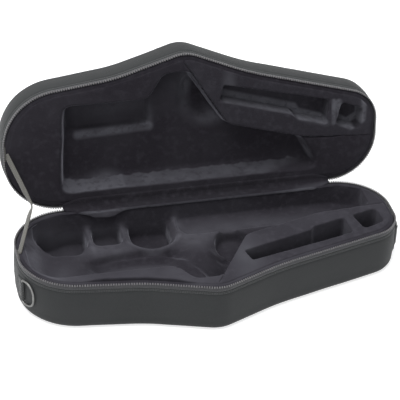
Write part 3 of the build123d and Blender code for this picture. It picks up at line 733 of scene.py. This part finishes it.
def local(points, half):
    """Each point's place along the hinge, its distance from the hinge and its depth below the rim."""
    x, y, z = points.T
    if half == "base":
        return x, case_rear - y, rim_height - z
    y, z = y - case_rear, z - rim_height
    return x, -lid_cos * y + lid_sin * z, lid_sin * y + lid_cos * z


def placed(made, half):
    """A piece's points, and where each of them lies on its half."""
    points = vertices_of(made)
    return points, local(points, half)


def ease(value):
    """From 0 to 1 without corners, and flat beyond both."""
    value = np.clip(value, 0, 1)
    return value * value * (3 - 2 * value)


def window(value, start, end, fade):
    """One between start and end, easing to nothing over the fade on both sides."""
    return ease((value - start + fade) / fade) * ease((end + fade - value) / fade)


def off_line(x, u, line):
    """Distance in the plan from a line through points."""
    best = np.full(len(x), 1e9)
    for (x0, u0), (x1, u1) in zip(line[:-1], line[1:]):
        dx, du = x1 - x0, u1 - u0
        t = np.clip(((x - x0) * dx + (u - u0) * du) / (dx * dx + du * du), 0, 1)
        best = np.minimum(best, np.hypot(x - x0 - t * dx, u - u0 - t * du))
    return best


# %% [markdown]
# Plush is worked in four ways. It bridges deep steps, so some places are smoothed again, each point by
# its own weight. It is never quite tight, so noise moves it a little in and out. It stays just
# below the rim, since the two halves' linings may not meet when the case is closed. And a value is
# painted on its points, partly brushed pile and partly painted light and painted shade, which the
# finish above reads.

# %% Ways of working the plush
def soften(made, weights, rounds):
    """Smooths an object's surface, each point by its own weight in twentieths."""
    group = made.vertex_groups.new(name="soft")
    level = np.round(np.asarray(weights) * 20).astype(int)
    for step in range(1, 21):
        group.add(np.flatnonzero(level == step).tolist(), step / 20, "REPLACE")
    rounder = made.modifiers.new("soften", "SMOOTH")
    rounder.factor, rounder.iterations, rounder.vertex_group = 0.5, rounds, "soft"
    baked(made)
    made.vertex_groups.clear()


def slack(made, height, size, seed):
    """Moves the surface in and out along its normals by soft noise, in millimetres."""
    points, out = vertices_of(made), point_values(made, "normal")
    for tall, wide in ((height, size), (height * 0.4, size * 0.38)):
        wave = np.array([ripple(x, y, z, wide, seed) for x, y, z in points])
        points = points + out * (tall * wave)[:, None]
    set_vertices(made, points)


def keep_below_rim(made, half, gap=0.8):
    """Presses the top of a lining down a little, so that the two halves' linings clear when closed."""
    points, (x, u, deep) = placed(made, half)
    down = np.array((0, 0, -1)) if half == "base" else np.array((0, lid_sin, lid_cos))
    set_vertices(made, points + np.clip(gap - deep, 0, None)[:, None] * down)


def paint_pile_light_and_shade(made, half, blots, lines=()):
    """Paints brushed pile, painted light and painted shade: soft blots with three reaches each, and bands
    along lines of the plan.
    """
    x, u, deep = placed(made, half)[1]
    total = np.zeros(len(x))
    for place, reach, strength in blots:
        away = [(v - p) / r for v, p, r in zip((x, u, deep), place, reach)]
        total += strength * np.exp(-sum(a * a for a in away))
    for line, reach, (high, low), strength in lines:
        tufts = np.array([4.0 * ripple(v, 0, 0, 17, 6.0) + 2.0 * ripple(v, 0, 0, 7, 6.0) for v in x])
        total += strength * np.exp(-(off_line(x, u, line) / reach) ** 4) * window(deep, high, low + tufts, 3)
    layer = made.data.attributes.new("brushed_pile_and_painted_light", "FLOAT", "POINT")
    layer.data.foreach_set("value", np.clip(total, -1, 1).astype(np.float32))
    print(made.name, "brushed on", round(100 * float((np.abs(total) > 0.1).mean())), "% of its points")


# %% [markdown]
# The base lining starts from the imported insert. The real case has only a narrow rim at its hinge, so
# the long rear wall is moved back, and the bow pocket's left wall moves outwards with it. Then the
# deep parts are softened. The second pocket and the trough's left end are softened much more, because
# plush bridges their steps.

# %% Base lining: its walls
lining_voxel, lining_rounds = 0.0022, 7
base_lining = soft_copy("base_insert", "base_plush_lining", plush, lining_voxel, lining_rounds,
                        backing_pan("base"))
points, (x, u, deep) = placed(base_lining, "base")
wall_back, packed_wall, moved_wall, untouched = 11, 28, 14.4, 60
moved = u - np.interp(u, (wall_back, packed_wall, untouched), (wall_back, moved_wall, untouched))
moved = np.where((u > wall_back) & (u < untouched), moved, 0)
points[:, 1] += moved * window(x, -226, 236, 44)
left_wall_out = 8
points[:, 0] -= (left_wall_out * window(x, -280, -264, 14) * (1 - ease((u - 36) / 32))
                 * ease((u - 22) / 10))
set_vertices(base_lining, points)
x, u, deep = local(points, "base")
soften(base_lining, ease((deep - 4) / 12), 15)
second_pocket = window(x, -196, -128, 10) * window(u, 20, 70, 12)
trough_end = window(x, -228, -176, 16) * window(u, 92, 150, 14)
soften(base_lining, ease((deep - 12) / 10) * ease(second_pocket + trough_end), 80)
slack(base_lining, 0.9, 34, 5.0)
print("rear wall moved back by up to", round(float(moved.max()), 1), "mm")

# %% [markdown]
# What a body tube, its bow and its keys press into the foam comes next, all as moves of the floor: the
# bow pocket's round corners, a long soft groove under the tube with a slit beside it, a round hollow
# for the bell keys, and a rolled ridge in front of the key cups' pocket.

# %% Base lining: its hollows
bow, cups, bell_keys = (-239, 47), (-88, 52), (33, 116)
groove_depth, slit_depth, keys_depth, ridge_height = 12.0, 7.0, 19.0, 3.4
points, (x, u, deep) = placed(base_lining, "base")


def away_from(spot, reach=(1, 1)):
    """Distance in the plan of every point from one spot, counted in reaches."""
    return np.hypot((x - spot[0]) / reach[0], (u - spot[1]) / reach[1])


below = np.clip((deep - 22) / 8, 0, 1) * np.clip(point_values(base_lining, "normal")[:, 2], 0, 1)
bow_corner = ease((away_from(bow) - 38) / 6) * window(u, 55, 80, 8) * window(x, -284, -194, 3)
points[:, 2] += bow_corner * np.clip(deep - 34, 0, 60)
past_edge = u - 96 - 0.0018 * (x + 125) ** 2
groove = ease(past_edge / 6) * (1 - ease((past_edge - 9) / 26)) * window(x, -188, -58, 32)
points[:, 2] -= groove_depth * groove * below
past_slit = u - 103 + 0.1 * (x + 54)
slit = ease(past_slit / 2.5) * (1 - ease((past_slit - 3) / 5)) * window(x, -66, -42, 9)
points[:, 2] -= slit_depth * slit * below
hollow = np.exp(-away_from(bell_keys, (27, 30)) ** 4)
between = np.clip((deep - 20) / 8, 0, 1) * np.clip((62 - deep) / 20, 0, 1)
points[:, 2] -= keys_depth * hollow * between
ridge = np.exp(-((away_from(cups) - 50) / 4.5) ** 2) * window(u, 62, 110, 14)
points[:, 2] += ridge_height * ridge * below
set_vertices(base_lining, points)
soften(base_lining, ease((deep - 10) / 8) * (0.35 + 0.65 * ease((x + 30) / 30)), 12)
print("points in the groove", int((groove * below > 0.5).sum()), "and in the keys' hollow",
      int((hollow > 0.5).sum()))

# %% [markdown]
# At the front left the lining has let go of the zip, so its edge is pulled back there. Then the pile is
# painted. Each row is a blot: its place on the half, its reach in three directions and how strong it is.
# The pale ones are partly brushed pile, where the instrument goes in and out and where hands press the
# lining. They are also partly painted light: on the front rim and the long left shoulder, which face
# the top lamp, on lit walls, and deep in the pockets against their shade. The rear wall gets a band of
# painted shade, so it looks a little darker.

# %% Base lining: its front edge, its pile, and painted light and shade
gap_from, gap_to, pulled_back = -196.0, -92.0, 7.0
front_rim_painted_light = ((0, 222, 0), (400, 60, 5), 0.55)
points, (x, u, deep) = placed(base_lining, "base")
pulled = window(x, gap_from, gap_to, 46) * window(deep, -9, 18, 14) * window(u, 210, 282, 14)
points[:, 1] += pulled_back * pulled
set_vertices(base_lining, points)
keep_below_rim(base_lining, "base")
# Positive blots are pale: brushed pile in part, and painted light on the rim, the left shoulder, lit walls
# and shadowed pockets.
base_blots = [
    front_rim_painted_light,
    ((-300, 105, 14), (22, 92, 26), 1.0),
    ((-300, 56, 18), (13, 26, 22), 0.8),
    ((-284, 180, 14), (48, 30, 30), 0.75),
    ((-258, 150, 34), (26, 34, 10), 0.4),
    ((-166, 86, 33), (46, 18, 9), 0.8),
    ((-194, 62, 24), (5, 34, 24), 0.65),
    ((-131, 40, 30), (7, 22, 16), 0.45),
    ((-38, 27, 30), (9, 18, 26), 0.75),
    ((-22, 76, 33), (48, 34, 12), 0.8),
    ((112, 52, 37), (130, 20, 10), 0.65),
    ((12, 150, 36), (28, 11, 14), 0.55),
    ((-120, 132, 44), (52, 12, 12), 0.65),
    ((-238, 40, 46), (48, 40, 38), 0.55),
    ((-164, 36, 46), (34, 34, 36), 0.5),
]
# A thin painted highlight runs along the rolled ridge in front of the key cups' pocket, and painted shade
# along the rear wall.
cup_edge = [(cups[0] + 49 * math.cos(a), cups[1] + 49 * math.sin(a)) for a in np.linspace(0.35, 2.7, 12)]
rear_wall_painted_shade = [(-264, 15), (285, 15)]
paint_pile_light_and_shade(base_lining, "base", base_blots, [(cup_edge, 4.0, (25, 50), 0.5), (rear_wall_painted_shade, 7.0, (8, 38), -0.12)])
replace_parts(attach(base_lining, "base"), "base_insert")

# %% [markdown]
# The lid's lining is shallower. Its hinge-side wall faces the light when the lid is open, and a pale
# band along it is painted light. The band is broken into uneven tufts like brushed pile, so its upper
# edge wanders. The deeper panel above it has one such wall with painted light too, and so has the
# bell's hollow. More blots of painted light lift the shadowed top of the recess, and the negative ones
# are painted shade. Both outer shoulders are softened a second time.

# %% Lid lining
lid_lining = soft_copy("lid_insert", "lid_plush_lining", lid_plush_painted_shade, lining_voxel, lining_rounds,
                       backing_pan("lid"))
x, u, deep = placed(lid_lining, "lid")[1]
left_shoulder = window(x, -246, -204, 12) * window(u, 30, 190, 20)
right_shoulder = window(x, 176, 248, 14) * window(u, 36, 100, 14)
soften(lid_lining, ease((deep - 2) / 12), 22)
for shoulder in (left_shoulder, right_shoulder):
    soften(lid_lining, ease((deep + 1) / 4) * shoulder, 60)
slack(lid_lining, 0.9, 38, 9.0)
keep_below_rim(lid_lining, "lid")
# Positive blots are painted light, partly brushed pile; negative blots are painted shade.
lid_blots = [
    ((-152, 40, 37), (24, 10, 7), 0.7),
    ((38, 132, 34), (26, 17, 22), 0.95),
    ((-6, 180, 50), (11, 34, 24), 0.75),
    ((22, 176, 56), (11, 26, 8), -0.8),
    ((216, 66, 22), (14, 30, 30), -0.7),
    ((-227, 120, 14), (8, 80, 18), -0.5),
    ((-70, 138, 46), (6, 20, 10), 0.5),
    ((-140, 160, 48), (110, 28, 16), 0.4),
    ((-10, 200, 44), (60, 34, 20), 0.3),
]
# Bands of painted light along walls that face the top lamp: the hinge-side wall and the deeper panel's wall.
lid_lines = [
    ([(-226, 33), (120, 35), (196, 44)], 9.0, (3, 34), 0.7),
    ([(-226, 33), (-130, 34)], 9.0, (3, 34), 0.35),
    ([(-196, 117), (-72, 122)], 8.0, (40, 54), 0.8),
]
paint_pile_light_and_shade(lid_lining, "lid", lid_blots, lid_lines)
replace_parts(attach(lid_lining, "lid"), "lid_insert")

# %% [markdown]
# The accessory block is a separate, firmer pad with crisp pockets for the neck and the mouthpiece.
# It is meshed finer and rounded less than the lining, so that its edges stay sharper, as they are
# on a block that is cut rather than moulded.

# %% Accessory blocks
# Blots and lines of painted light on the blocks' walls and facets that face the lamps, as pale strokes.
block_blots = {
    "base": [((44, 182, 2), (26, 62, 16), 0.95), ((243, 128, 20), (6, 20, 24), 0.6)],
    "lid": [((62, 203, 5), (12, 26, 14), 0.55)],
}
block_lines = {
    "base": [],
    "lid": [([(58, 175), (184, 138), (190, 128), (238, 112)], 7.0, (2, 34), 1.0),
            ([(250, 111), (249, 153)], 4.0, (-2, 24), 0.9),
            ([(258, 150), (262, 112), (282, 100), (303, 112), (305, 148)], 6.0, (1, 34), 1.0)],
}
block_voxel, block_rounds = 0.0018, 3
for half in halves:
    look = block_plush if half == "base" else lid_block_plush_painted_shade
    block = soft_copy(half + "_accessory_block", half + "_accessory_pad", look, block_voxel, block_rounds)
    slack(block, 0.3, 30, 2.0)
    paint_pile_light_and_shade(block, half, block_blots[half], block_lines[half])
    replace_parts(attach(block, half), half + "_accessory_block")

# %% [markdown]
# Plush is carried on from the lining's edge over the foam board to the zip, and tucked in there. At
# the front left of the base it has pulled away and leaves a dark slot. The strip is a loft along the
# rim whose middle sinks, a little everywhere and a lot along that stretch.

# %% Lining over the rim
def sink_gap(runs, insets, depths):
    """Lets the strip fall away where the lining has pulled back from the zip."""
    x, y = on_plan(runs, 0).T
    share = np.where(y < 0, window(x, gap_from, gap_to, 46), 0)
    middle = np.clip((insets - 3.0) / 4.0, 0, 1) * np.clip((14.5 - insets) / 1.0, 0, 1)
    inner = np.clip((insets - 9.0) / 4.0, 0, 1)
    return insets + share * pulled_back * inner, depths - share * 5.2 * middle


rim_runs = np.linspace(zip_start - 2, zip_end + 2, 500)
rim_profile = [(14.0, -1.9), (12.2, -1.9), (10.4, -2.2), (8.6, -2.3), (6.9, -2.6), (5.7, -3.3),
               (5.1, -4.4), (4.9, -6.2), (4.9, -8.6), (6.5, -8.8), (12.0, -8.6), (14.0, -4.0)]
for half, (place, height) in halves.items():
    look, change = (plush, sink_gap) if half == "base" else (lid_plush_painted_shade, None)
    edge = strip(half + "_rim_lining", rim_profile, rim_runs, place, look, change)
    # The front rim's blot of painted light is carried over onto the base's rim strip.
    if half == "base":
        paint_pile_light_and_shade(edge, half, [front_rim_painted_light])
    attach(edge, half)
    print(edge.name, len(edge.data.polygons), "faces")

# %% [markdown]
# The hinge is cloth: one strip outside and one inside, and both bend with the lid. So each is one thin
# sheet that follows the base at one edge and the lid at the other. Outside, the nylon runs from one
# cover to the other between the two seams, and its section is a soft curve through seven points.

# %% Fabric hinge, outside
def smooth_path(points, count):
    """Evenly many points on a soft curve through the given ones."""
    points = np.array(points, float)
    run = run_along(points)
    tangents = np.gradient(points, run, axis=0)
    made = []
    for at in np.linspace(0, run[-1], count):
        k = min(np.searchsorted(run, at, side="right") - 1, len(run) - 2)
        h = run[k + 1] - run[k]
        t = (at - run[k]) / h
        made.append(points[k] * (2 * t**3 - 3 * t**2 + 1) + tangents[k] * h * (t**3 - 2 * t**2 + t)
                    + points[k + 1] * (3 * t**2 - 2 * t**3) + tangents[k + 1] * h * (t**3 - t**2))
    return np.array(made)


def hinge_sheet(name, path, x0, x1, look, change=None, columns=180):
    """A sheet along the hinge whose section is a path of (y, z) points, and its flat width."""
    xs = np.linspace(x0, x1, columns)
    rows, cloth = [], []
    for k, ((y, z), run) in enumerate(zip(path, run_along(path))):
        row = np.column_stack([xs, np.full(columns, y), np.full(columns, z)])
        rows.append(change(row, k / (len(path) - 1)) if change else row)
        cloth.append(np.column_stack([xs - x0, np.full(columns, run)]) / 1000)
    faces = rows_to_faces(len(rows), columns, wrap=False)
    return piece(name, np.vstack(rows), faces, look, np.vstack(cloth)), float(run_along(path)[-1]) / 1000


outer_path = smooth_path([(case_rear + 0.2, rim_height - 17), (case_rear + 0.5, rim_height - 10),
                          (case_rear + 1.0, rim_height - 3), (case_rear + 4.0, rim_height + 1.4),
                          lid_side(-0.6, 6), lid_side(-0.5, 11), lid_side(-0.2, 17)], 26)
hinge_skin, hinge_width = hinge_sheet("hinge_nylon", outer_path, -208, 218, nylon)
hinge_skin.modifiers.new("thickness", "SOLIDIFY").thickness = 0.0008
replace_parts(hinge_skin, "hinge_cover")
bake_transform(hinge_skin)
print("hinge nylon is", round(hinge_width * 1000, 1), "mm wide before it bends")

# %% [markdown]
# Inside, a strip of lining goes from one rear rim to the other and hides the gap. It is glued down only
# at its edges, so it lies in soft waves, and a tongue of it hangs over the base's rear wall. It runs
# narrower towards both ends, where the rims turn away from the hinge.

# %% Fabric hinge, inside
def hinge_waves(row, share):
    """Soft waves along the lining strip, and a tongue of it that hangs over the rear wall."""
    x = row[:, 0]
    wave = np.array([ripple(v, share * 20, 0, 26, 4.0) for v in x])
    fine = np.array([ripple(v, share * 30, 5, 11, 8.0) for v in x])
    row[:, 2] += 0.5 * wave * (1 - 0.5 * share)
    hang = np.exp(-(np.abs(x + 163) / 27) ** 3) * np.clip((0.42 - share) / 0.42, 0, 1) ** 1.2
    row[:, 1] -= hang * (8.0 + 1.4 * wave + 1.8 * fine)
    row[:, 2] -= hang * (7.0 + 1.4 * wave)
    narrow = 0.15 + 0.85 * np.clip(np.minimum(x + 236, 246 - x) / 34, 0, 1) ** 0.6
    fold = np.array((case_rear - 1.6, rim_height + 3.6))
    row[:, 1:] = fold + (row[:, 1:] - fold) * narrow[:, None]
    return row


inner_path = smooth_path([(case_rear - 15.6, rim_height - 4.6), (case_rear - 15.0, rim_height - 1.6),
                          (case_rear - 13.2, rim_height + 0.6), (case_rear - 10, rim_height + 1.1),
                          (case_rear - 7, rim_height + 1.2), (case_rear - 4, rim_height + 1.8),
                          (case_rear - 1.6, rim_height + 4.6), lid_side(8, -1.1), lid_side(12, -0.9),
                          lid_side(15, -0.5), lid_side(17, 0.7)], 44)
hinge_plush, lining_width = hinge_sheet("hinge_plush_lining", inner_path, -233, 243, lid_plush_painted_shade,
                                        hinge_waves, 200)
# Painted light on the tongue and the right end, a thin painted highlight along the rolled edge at the base's
# rim, and painted shade on the strip's upper part.
paint_pile_light_and_shade(hinge_plush, "base", [((-163, 22, 5), (30, 8, 9), 0.6), ((0, 5, -12), (300, 12, 16), -0.8),
                           ((235, 13, 0), (70, 14, 9), 0.8)],
      [([(-233, 16), (243, 16)], 2.0, (-1, 6), 0.7)])
hinge_plush.modifiers.new("thickness", "SOLIDIFY").thickness = 0.0009
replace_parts(hinge_plush, "hinge_lining")
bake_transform(hinge_plush)
print("hinge lining is", round(lining_width * 1000, 1), "mm wide before it bends")

# %% [markdown]
# A webbing strap stops the lid. It is sewn down at the left rim of both halves and hangs between
# them with some slack, so it leans inwards and turns on itself. Its flat width is carried along a
# curve in steps, each step with its own direction across, and the result bends with the lid.

# %% Stay strap and its sewn ends
stay_reach, stay_inset, stay_width, stay_wall = 110.0, 6.0, 12.5, 1.5
left_wall = -330.0
foot = np.array((left_wall + stay_inset, case_rear - stay_reach, rim_height - 4.0))
top_y, top_z = lid_side(stay_reach, 4.0)
head = np.array((left_wall + stay_inset, top_y, top_z))
knee = (foot + head) / 2 + np.array((33.0, 5.0, -10.0))


def towards(start, end, share):
    return start + (end - start) * share


stay_line = smooth_path(
    [foot, towards(foot, knee, 0.04), towards(foot, knee, 0.45), towards(foot, knee, 0.88),
     towards(foot, knee, 0.96) + (0.4, 0, 0), towards(head, knee, 0.96) + (0.4, 0, 0),
     towards(head, knee, 0.88), towards(head, knee, 0.45), towards(head, knee, 0.04), head], 60)
stay_way = np.gradient(stay_line, axis=0)
stay_way /= np.linalg.norm(stay_way, axis=1)[:, None]
stay_run = run_along(stay_line)
outline = [(-0.5, -0.3), (-0.46, -0.5), (-0.2, -0.5), (0.2, -0.5), (0.46, -0.5), (0.5, -0.3),
           (0.5, 0.3), (0.46, 0.5), (0.2, 0.5), (-0.2, 0.5), (-0.46, 0.5), (-0.5, 0.3)]
points, cloth = [], []
for k, (spot, way) in enumerate(zip(stay_line, stay_way)):
    swing = lid_open * ease((k / (len(stay_line) - 1) - 0.36) / 0.28)
    flat = np.array((0, math.cos(swing), -math.sin(swing)))
    across = flat - way * (flat @ way)
    across /= np.linalg.norm(across)
    thick = np.cross(way, across)
    for a, t in outline:
        points.append(spot + across * a * stay_width + thick * t * stay_wall)
        cloth.append((a * stay_width / 1000, stay_run[k] / 1000))
stay = piece("stay_webbing_strap", points, capped_faces(len(stay_line), len(outline)), stay_webbing, cloth)
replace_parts(stay, "stay_strap")
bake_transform(stay)

end_reach, end_points = 13, 12
end_section = [(-3.6, -8.0), (-3.2, -4.6), (0, -4.0), (3.2, -4.6), (3.6, -8.0)]
for half, (place, height) in halves.items():
    y = case_rear - stay_reach
    rows = np.array([(left_wall + stay_inset + x, y + s, deep - 0.4 * abs(s) / end_reach)
                     for x, deep in end_section for s in np.linspace(-end_reach, end_reach, end_points)])
    faces = rows_to_faces(len(end_section), end_points, wrap=False)
    sewn_end = piece(half + "_stay_end", place(rows), faces, stay_webbing, rows[:, :2] / 1000)
    sewn_end.modifiers.new("thickness", "SOLIDIFY").thickness = 0.0012
    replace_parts(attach(sewn_end, half), half + "_stay_anchor")

# %% [markdown]
# A D-ring is bent from round wire and welded. The CAD ring has twelve flat sides, which is enough to
# swing and collide, but a wire has to look round, so it is swept again from a circle of twenty points
# round the same line. It rides on the ring's own body, since it swings in its tab.

# %% D-rings
wire_radius, wire_sides = 2.0, 20
ring_bar, ring_depth = 46.0, 28.0


def ring_line(step=1.2):
    """The ring's centre line from its bar, in the plane of X outwards and Z up."""
    half = ring_bar / 2
    line = rounded_line([(0, -half), (ring_depth, -half), (ring_depth, half), (0, half)],
                        [4, 19, 19, 4], step)
    return np.column_stack([line[:, 0], np.zeros(len(line)), line[:, 1]])


def tube(line, radius, sides):
    """Points and faces of a round tube along a closed line."""
    way = np.roll(line, -1, 0) - np.roll(line, 1, 0)
    way /= np.linalg.norm(way, axis=1)[:, None]
    flat = np.array((0.0, 1.0, 0.0))
    points = [line + radius * (math.cos(a) * flat + math.sin(a) * np.cross(way, flat))
              for a in (2 * math.pi * k / sides for k in range(sides))]
    points = np.stack(points, axis=1).reshape(-1, 3)
    faces = [tuple(k % len(points) for k in face) for face in rows_to_faces(len(line) + 1, sides)]
    return points, faces


# each ring's origin, the way its wall faces in the plan, and the degrees it hangs off the wall
left_turn = math.radians(22)
seats = {"left": ((-326.362, -24.771, 46.0), (math.sin(left_turn), -math.cos(left_turn)), 9.0),
         "right": ((333.93, 15.0, 46.0), (0.0, 1.0), 2.5)}
for side, (origin, wall_way, fold) in seats.items():
    points, faces = tube(ring_line(), wire_radius, wire_sides)
    c, s = math.cos(math.radians(fold)), math.sin(math.radians(fold))
    out, over, up = points.T[:, :, None]
    x_way, y_way = np.array((*wall_way, 0.0)), np.array((-wall_way[1], wall_way[0], 0.0))
    points = np.array(origin) + (out * c - over * s) * x_way + (out * s + over * c) * y_way + up * (0, 0, 1)
    ring = piece("d_ring_wire_" + side, points, faces, ring_nickel)
    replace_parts(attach(ring, "d_ring_" + side), "d_ring_" + side)
    print(ring.name, len(faces), "faces")

# %% [markdown]
# Each ring hangs in a tab of ribbed webbing: one piece that lies on the wall, goes round the ring's
# bar and comes back over itself, held by a boxed cross of stitches. The path of the webbing is drawn
# in the plan, where it can follow the round wall, and its width simply stands upright.

# %% Ring tabs
tab_width, ply, columns = 36.0, 0.85, 15
lower_ply, upper_ply, stitch_level = -0.6, -1.55, -2.05  # insets of the plan, so outwards is negative


def tab_path(origin, wall_way, seat_run):
    """Plan points of the webbing: under the patch, round the bar and back over the patch."""
    inward = np.array((-wall_way[1], wall_way[0]))
    centre, ahead = np.array(origin[:2]), np.array(wall_way)
    path = [on_plan([seat_run + r], lower_ply)[0] for r in np.arange(-23, -7, 2.0)]
    for angle in range(-25, 216, 15):
        a = math.radians(angle)
        path.append(centre + (wire_radius + 0.1 + ply / 2) * (math.sin(a) * ahead + math.cos(a) * inward))
    path += [on_plan([seat_run + r], upper_ply)[0] for r in np.arange(-9, -22.5, -1.7)]
    return smooth_path([(*p, 0) for p in path], 110)[:, :2]


for side, (origin, wall_way, fold) in seats.items():
    near = np.linalg.norm(plan - origin[:2], axis=1)
    seat_run = float(plan_run[near.argmin()])
    path = tab_path(origin, wall_way, seat_run)
    heights = np.linspace(-tab_width / 2, tab_width / 2, columns)
    run = run_along(path)
    rows = [np.column_stack([np.tile(p, (columns, 1)), origin[2] + heights]) for p in path]
    cloth = [np.column_stack([heights, np.full(columns, r)]) / 1000 for r in run]
    tab = piece("d_ring_webbing_" + side, np.vstack(rows), rows_to_faces(len(rows), columns, wrap=False),
                tab_webbing, np.vstack(cloth))
    wall = tab.modifiers.new("thickness", "SOLIDIFY")
    wall.thickness, wall.offset = ply / 1000, 0
    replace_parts(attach(tab, "base"), "d_ring_tab_" + side)

    low, high = -tab_width / 2 + 3, tab_width / 2 - 3
    lines = [((-20, low), (-20, high)), ((-10, low), (-10, high)), ((-20, low), (-10, low)),
             ((-20, high), (-10, high)), ((-20, low), (-10, high)), ((-20, high), (-10, low))]
    spots, ways, outs = [], [], []
    for (r0, z0), (r1, z1) in lines:
        count = round(math.hypot(r1 - r0, z1 - z0) / 2.4)
        for t in (np.arange(count) + 0.5) / count:
            r, z = seat_run + r0 + (r1 - r0) * t, z0 + (z1 - z0) * t
            p, q = on_plan([r, r + 0.5], stitch_level)
            tangent = (q - p) / np.linalg.norm(q - p)
            spots.append((*p, origin[2] + z))
            way = np.array((*(tangent * (r1 - r0)), z1 - z0))
            ways.append(way / np.linalg.norm(way))
            outs.append((tangent[1], -tangent[0], 0))
    ways, outs = np.array(ways), np.array(outs)
    made, every = repeat(bead(2.0, 0.6, 0.25), np.array(spots), ways, outs, np.cross(ways, outs))
    cross = piece("d_ring_tab_stitches_" + side, made, every, thread)
    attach(cross, "base")
    print(tab.name, "webbing", round(float(run[-1])), "mm,", len(spots), "stitches")

# %% [markdown]
# The carry handle is on the hinge side: a steel bow in a rubber grip. Only the grip is made again,
# with the close rings that keep a hand from slipping. A revolved line is the natural way, because
# such a grip is moulded in a round cavity.

# %% Grip
grip_middle, grip_length = np.array((0.0, 143.0, 26.0)), 88.0
stations, sides = 177, 36
turns = np.linspace(0, 2 * math.pi, sides, endpoint=False)
points = []
for k in range(stations):
    x = -grip_length / 2 + grip_length * k / (stations - 1)
    share = abs(x) / (grip_length / 2)
    body = 9.0 - 1.5 * max(0.0, (share - 0.33) / 0.67) ** 1.3
    edge = 2.0 * max(0.0, (share - 0.955) / 0.045) ** 2
    groove = 0.45 * (0.5 + 0.5 * math.cos(2 * math.pi * x / 4.0)) ** 3 if share < 0.9 else 0.0
    r = body - edge - groove
    points += [grip_middle + (x, r * math.cos(a), r * math.sin(a)) for a in turns]
faces = capped_faces(stations, sides)
grip = piece("handle_rubber_grip", points, faces, grip_rubber)
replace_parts(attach(grip, "handle"), "handle_grip")
print(grip.name, len(faces), "faces")

# %% [markdown]
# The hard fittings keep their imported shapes, because those are right. They only get a fine bevel, as
# edges wear, and a metal of the proper kind: bright nickel on the zip, duller plate on the
# brackets, dark steel in the grip.

# %% Metal fittings
fittings = {
    zip_nickel: ["zip_slider_left", "zip_slider_right", "zip_pull_left", "zip_pull_right"],
    bracket_steel: ["handle_brackets", "handle_pins", "handle_rivets", "handle_backing_plates"],
    handle_steel: ["handle_core"],
}
for look, names in fittings.items():
    for name in names:
        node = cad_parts[name]
        dress(node, look)
        edges = node.modifiers.new("worn_edges", "BEVEL")
        edges.width, edges.segments, edges.limit_method = 0.00025, 2, "ANGLE"
        edges.angle_limit = math.radians(40)
    print(look.name, "on", ", ".join(names))
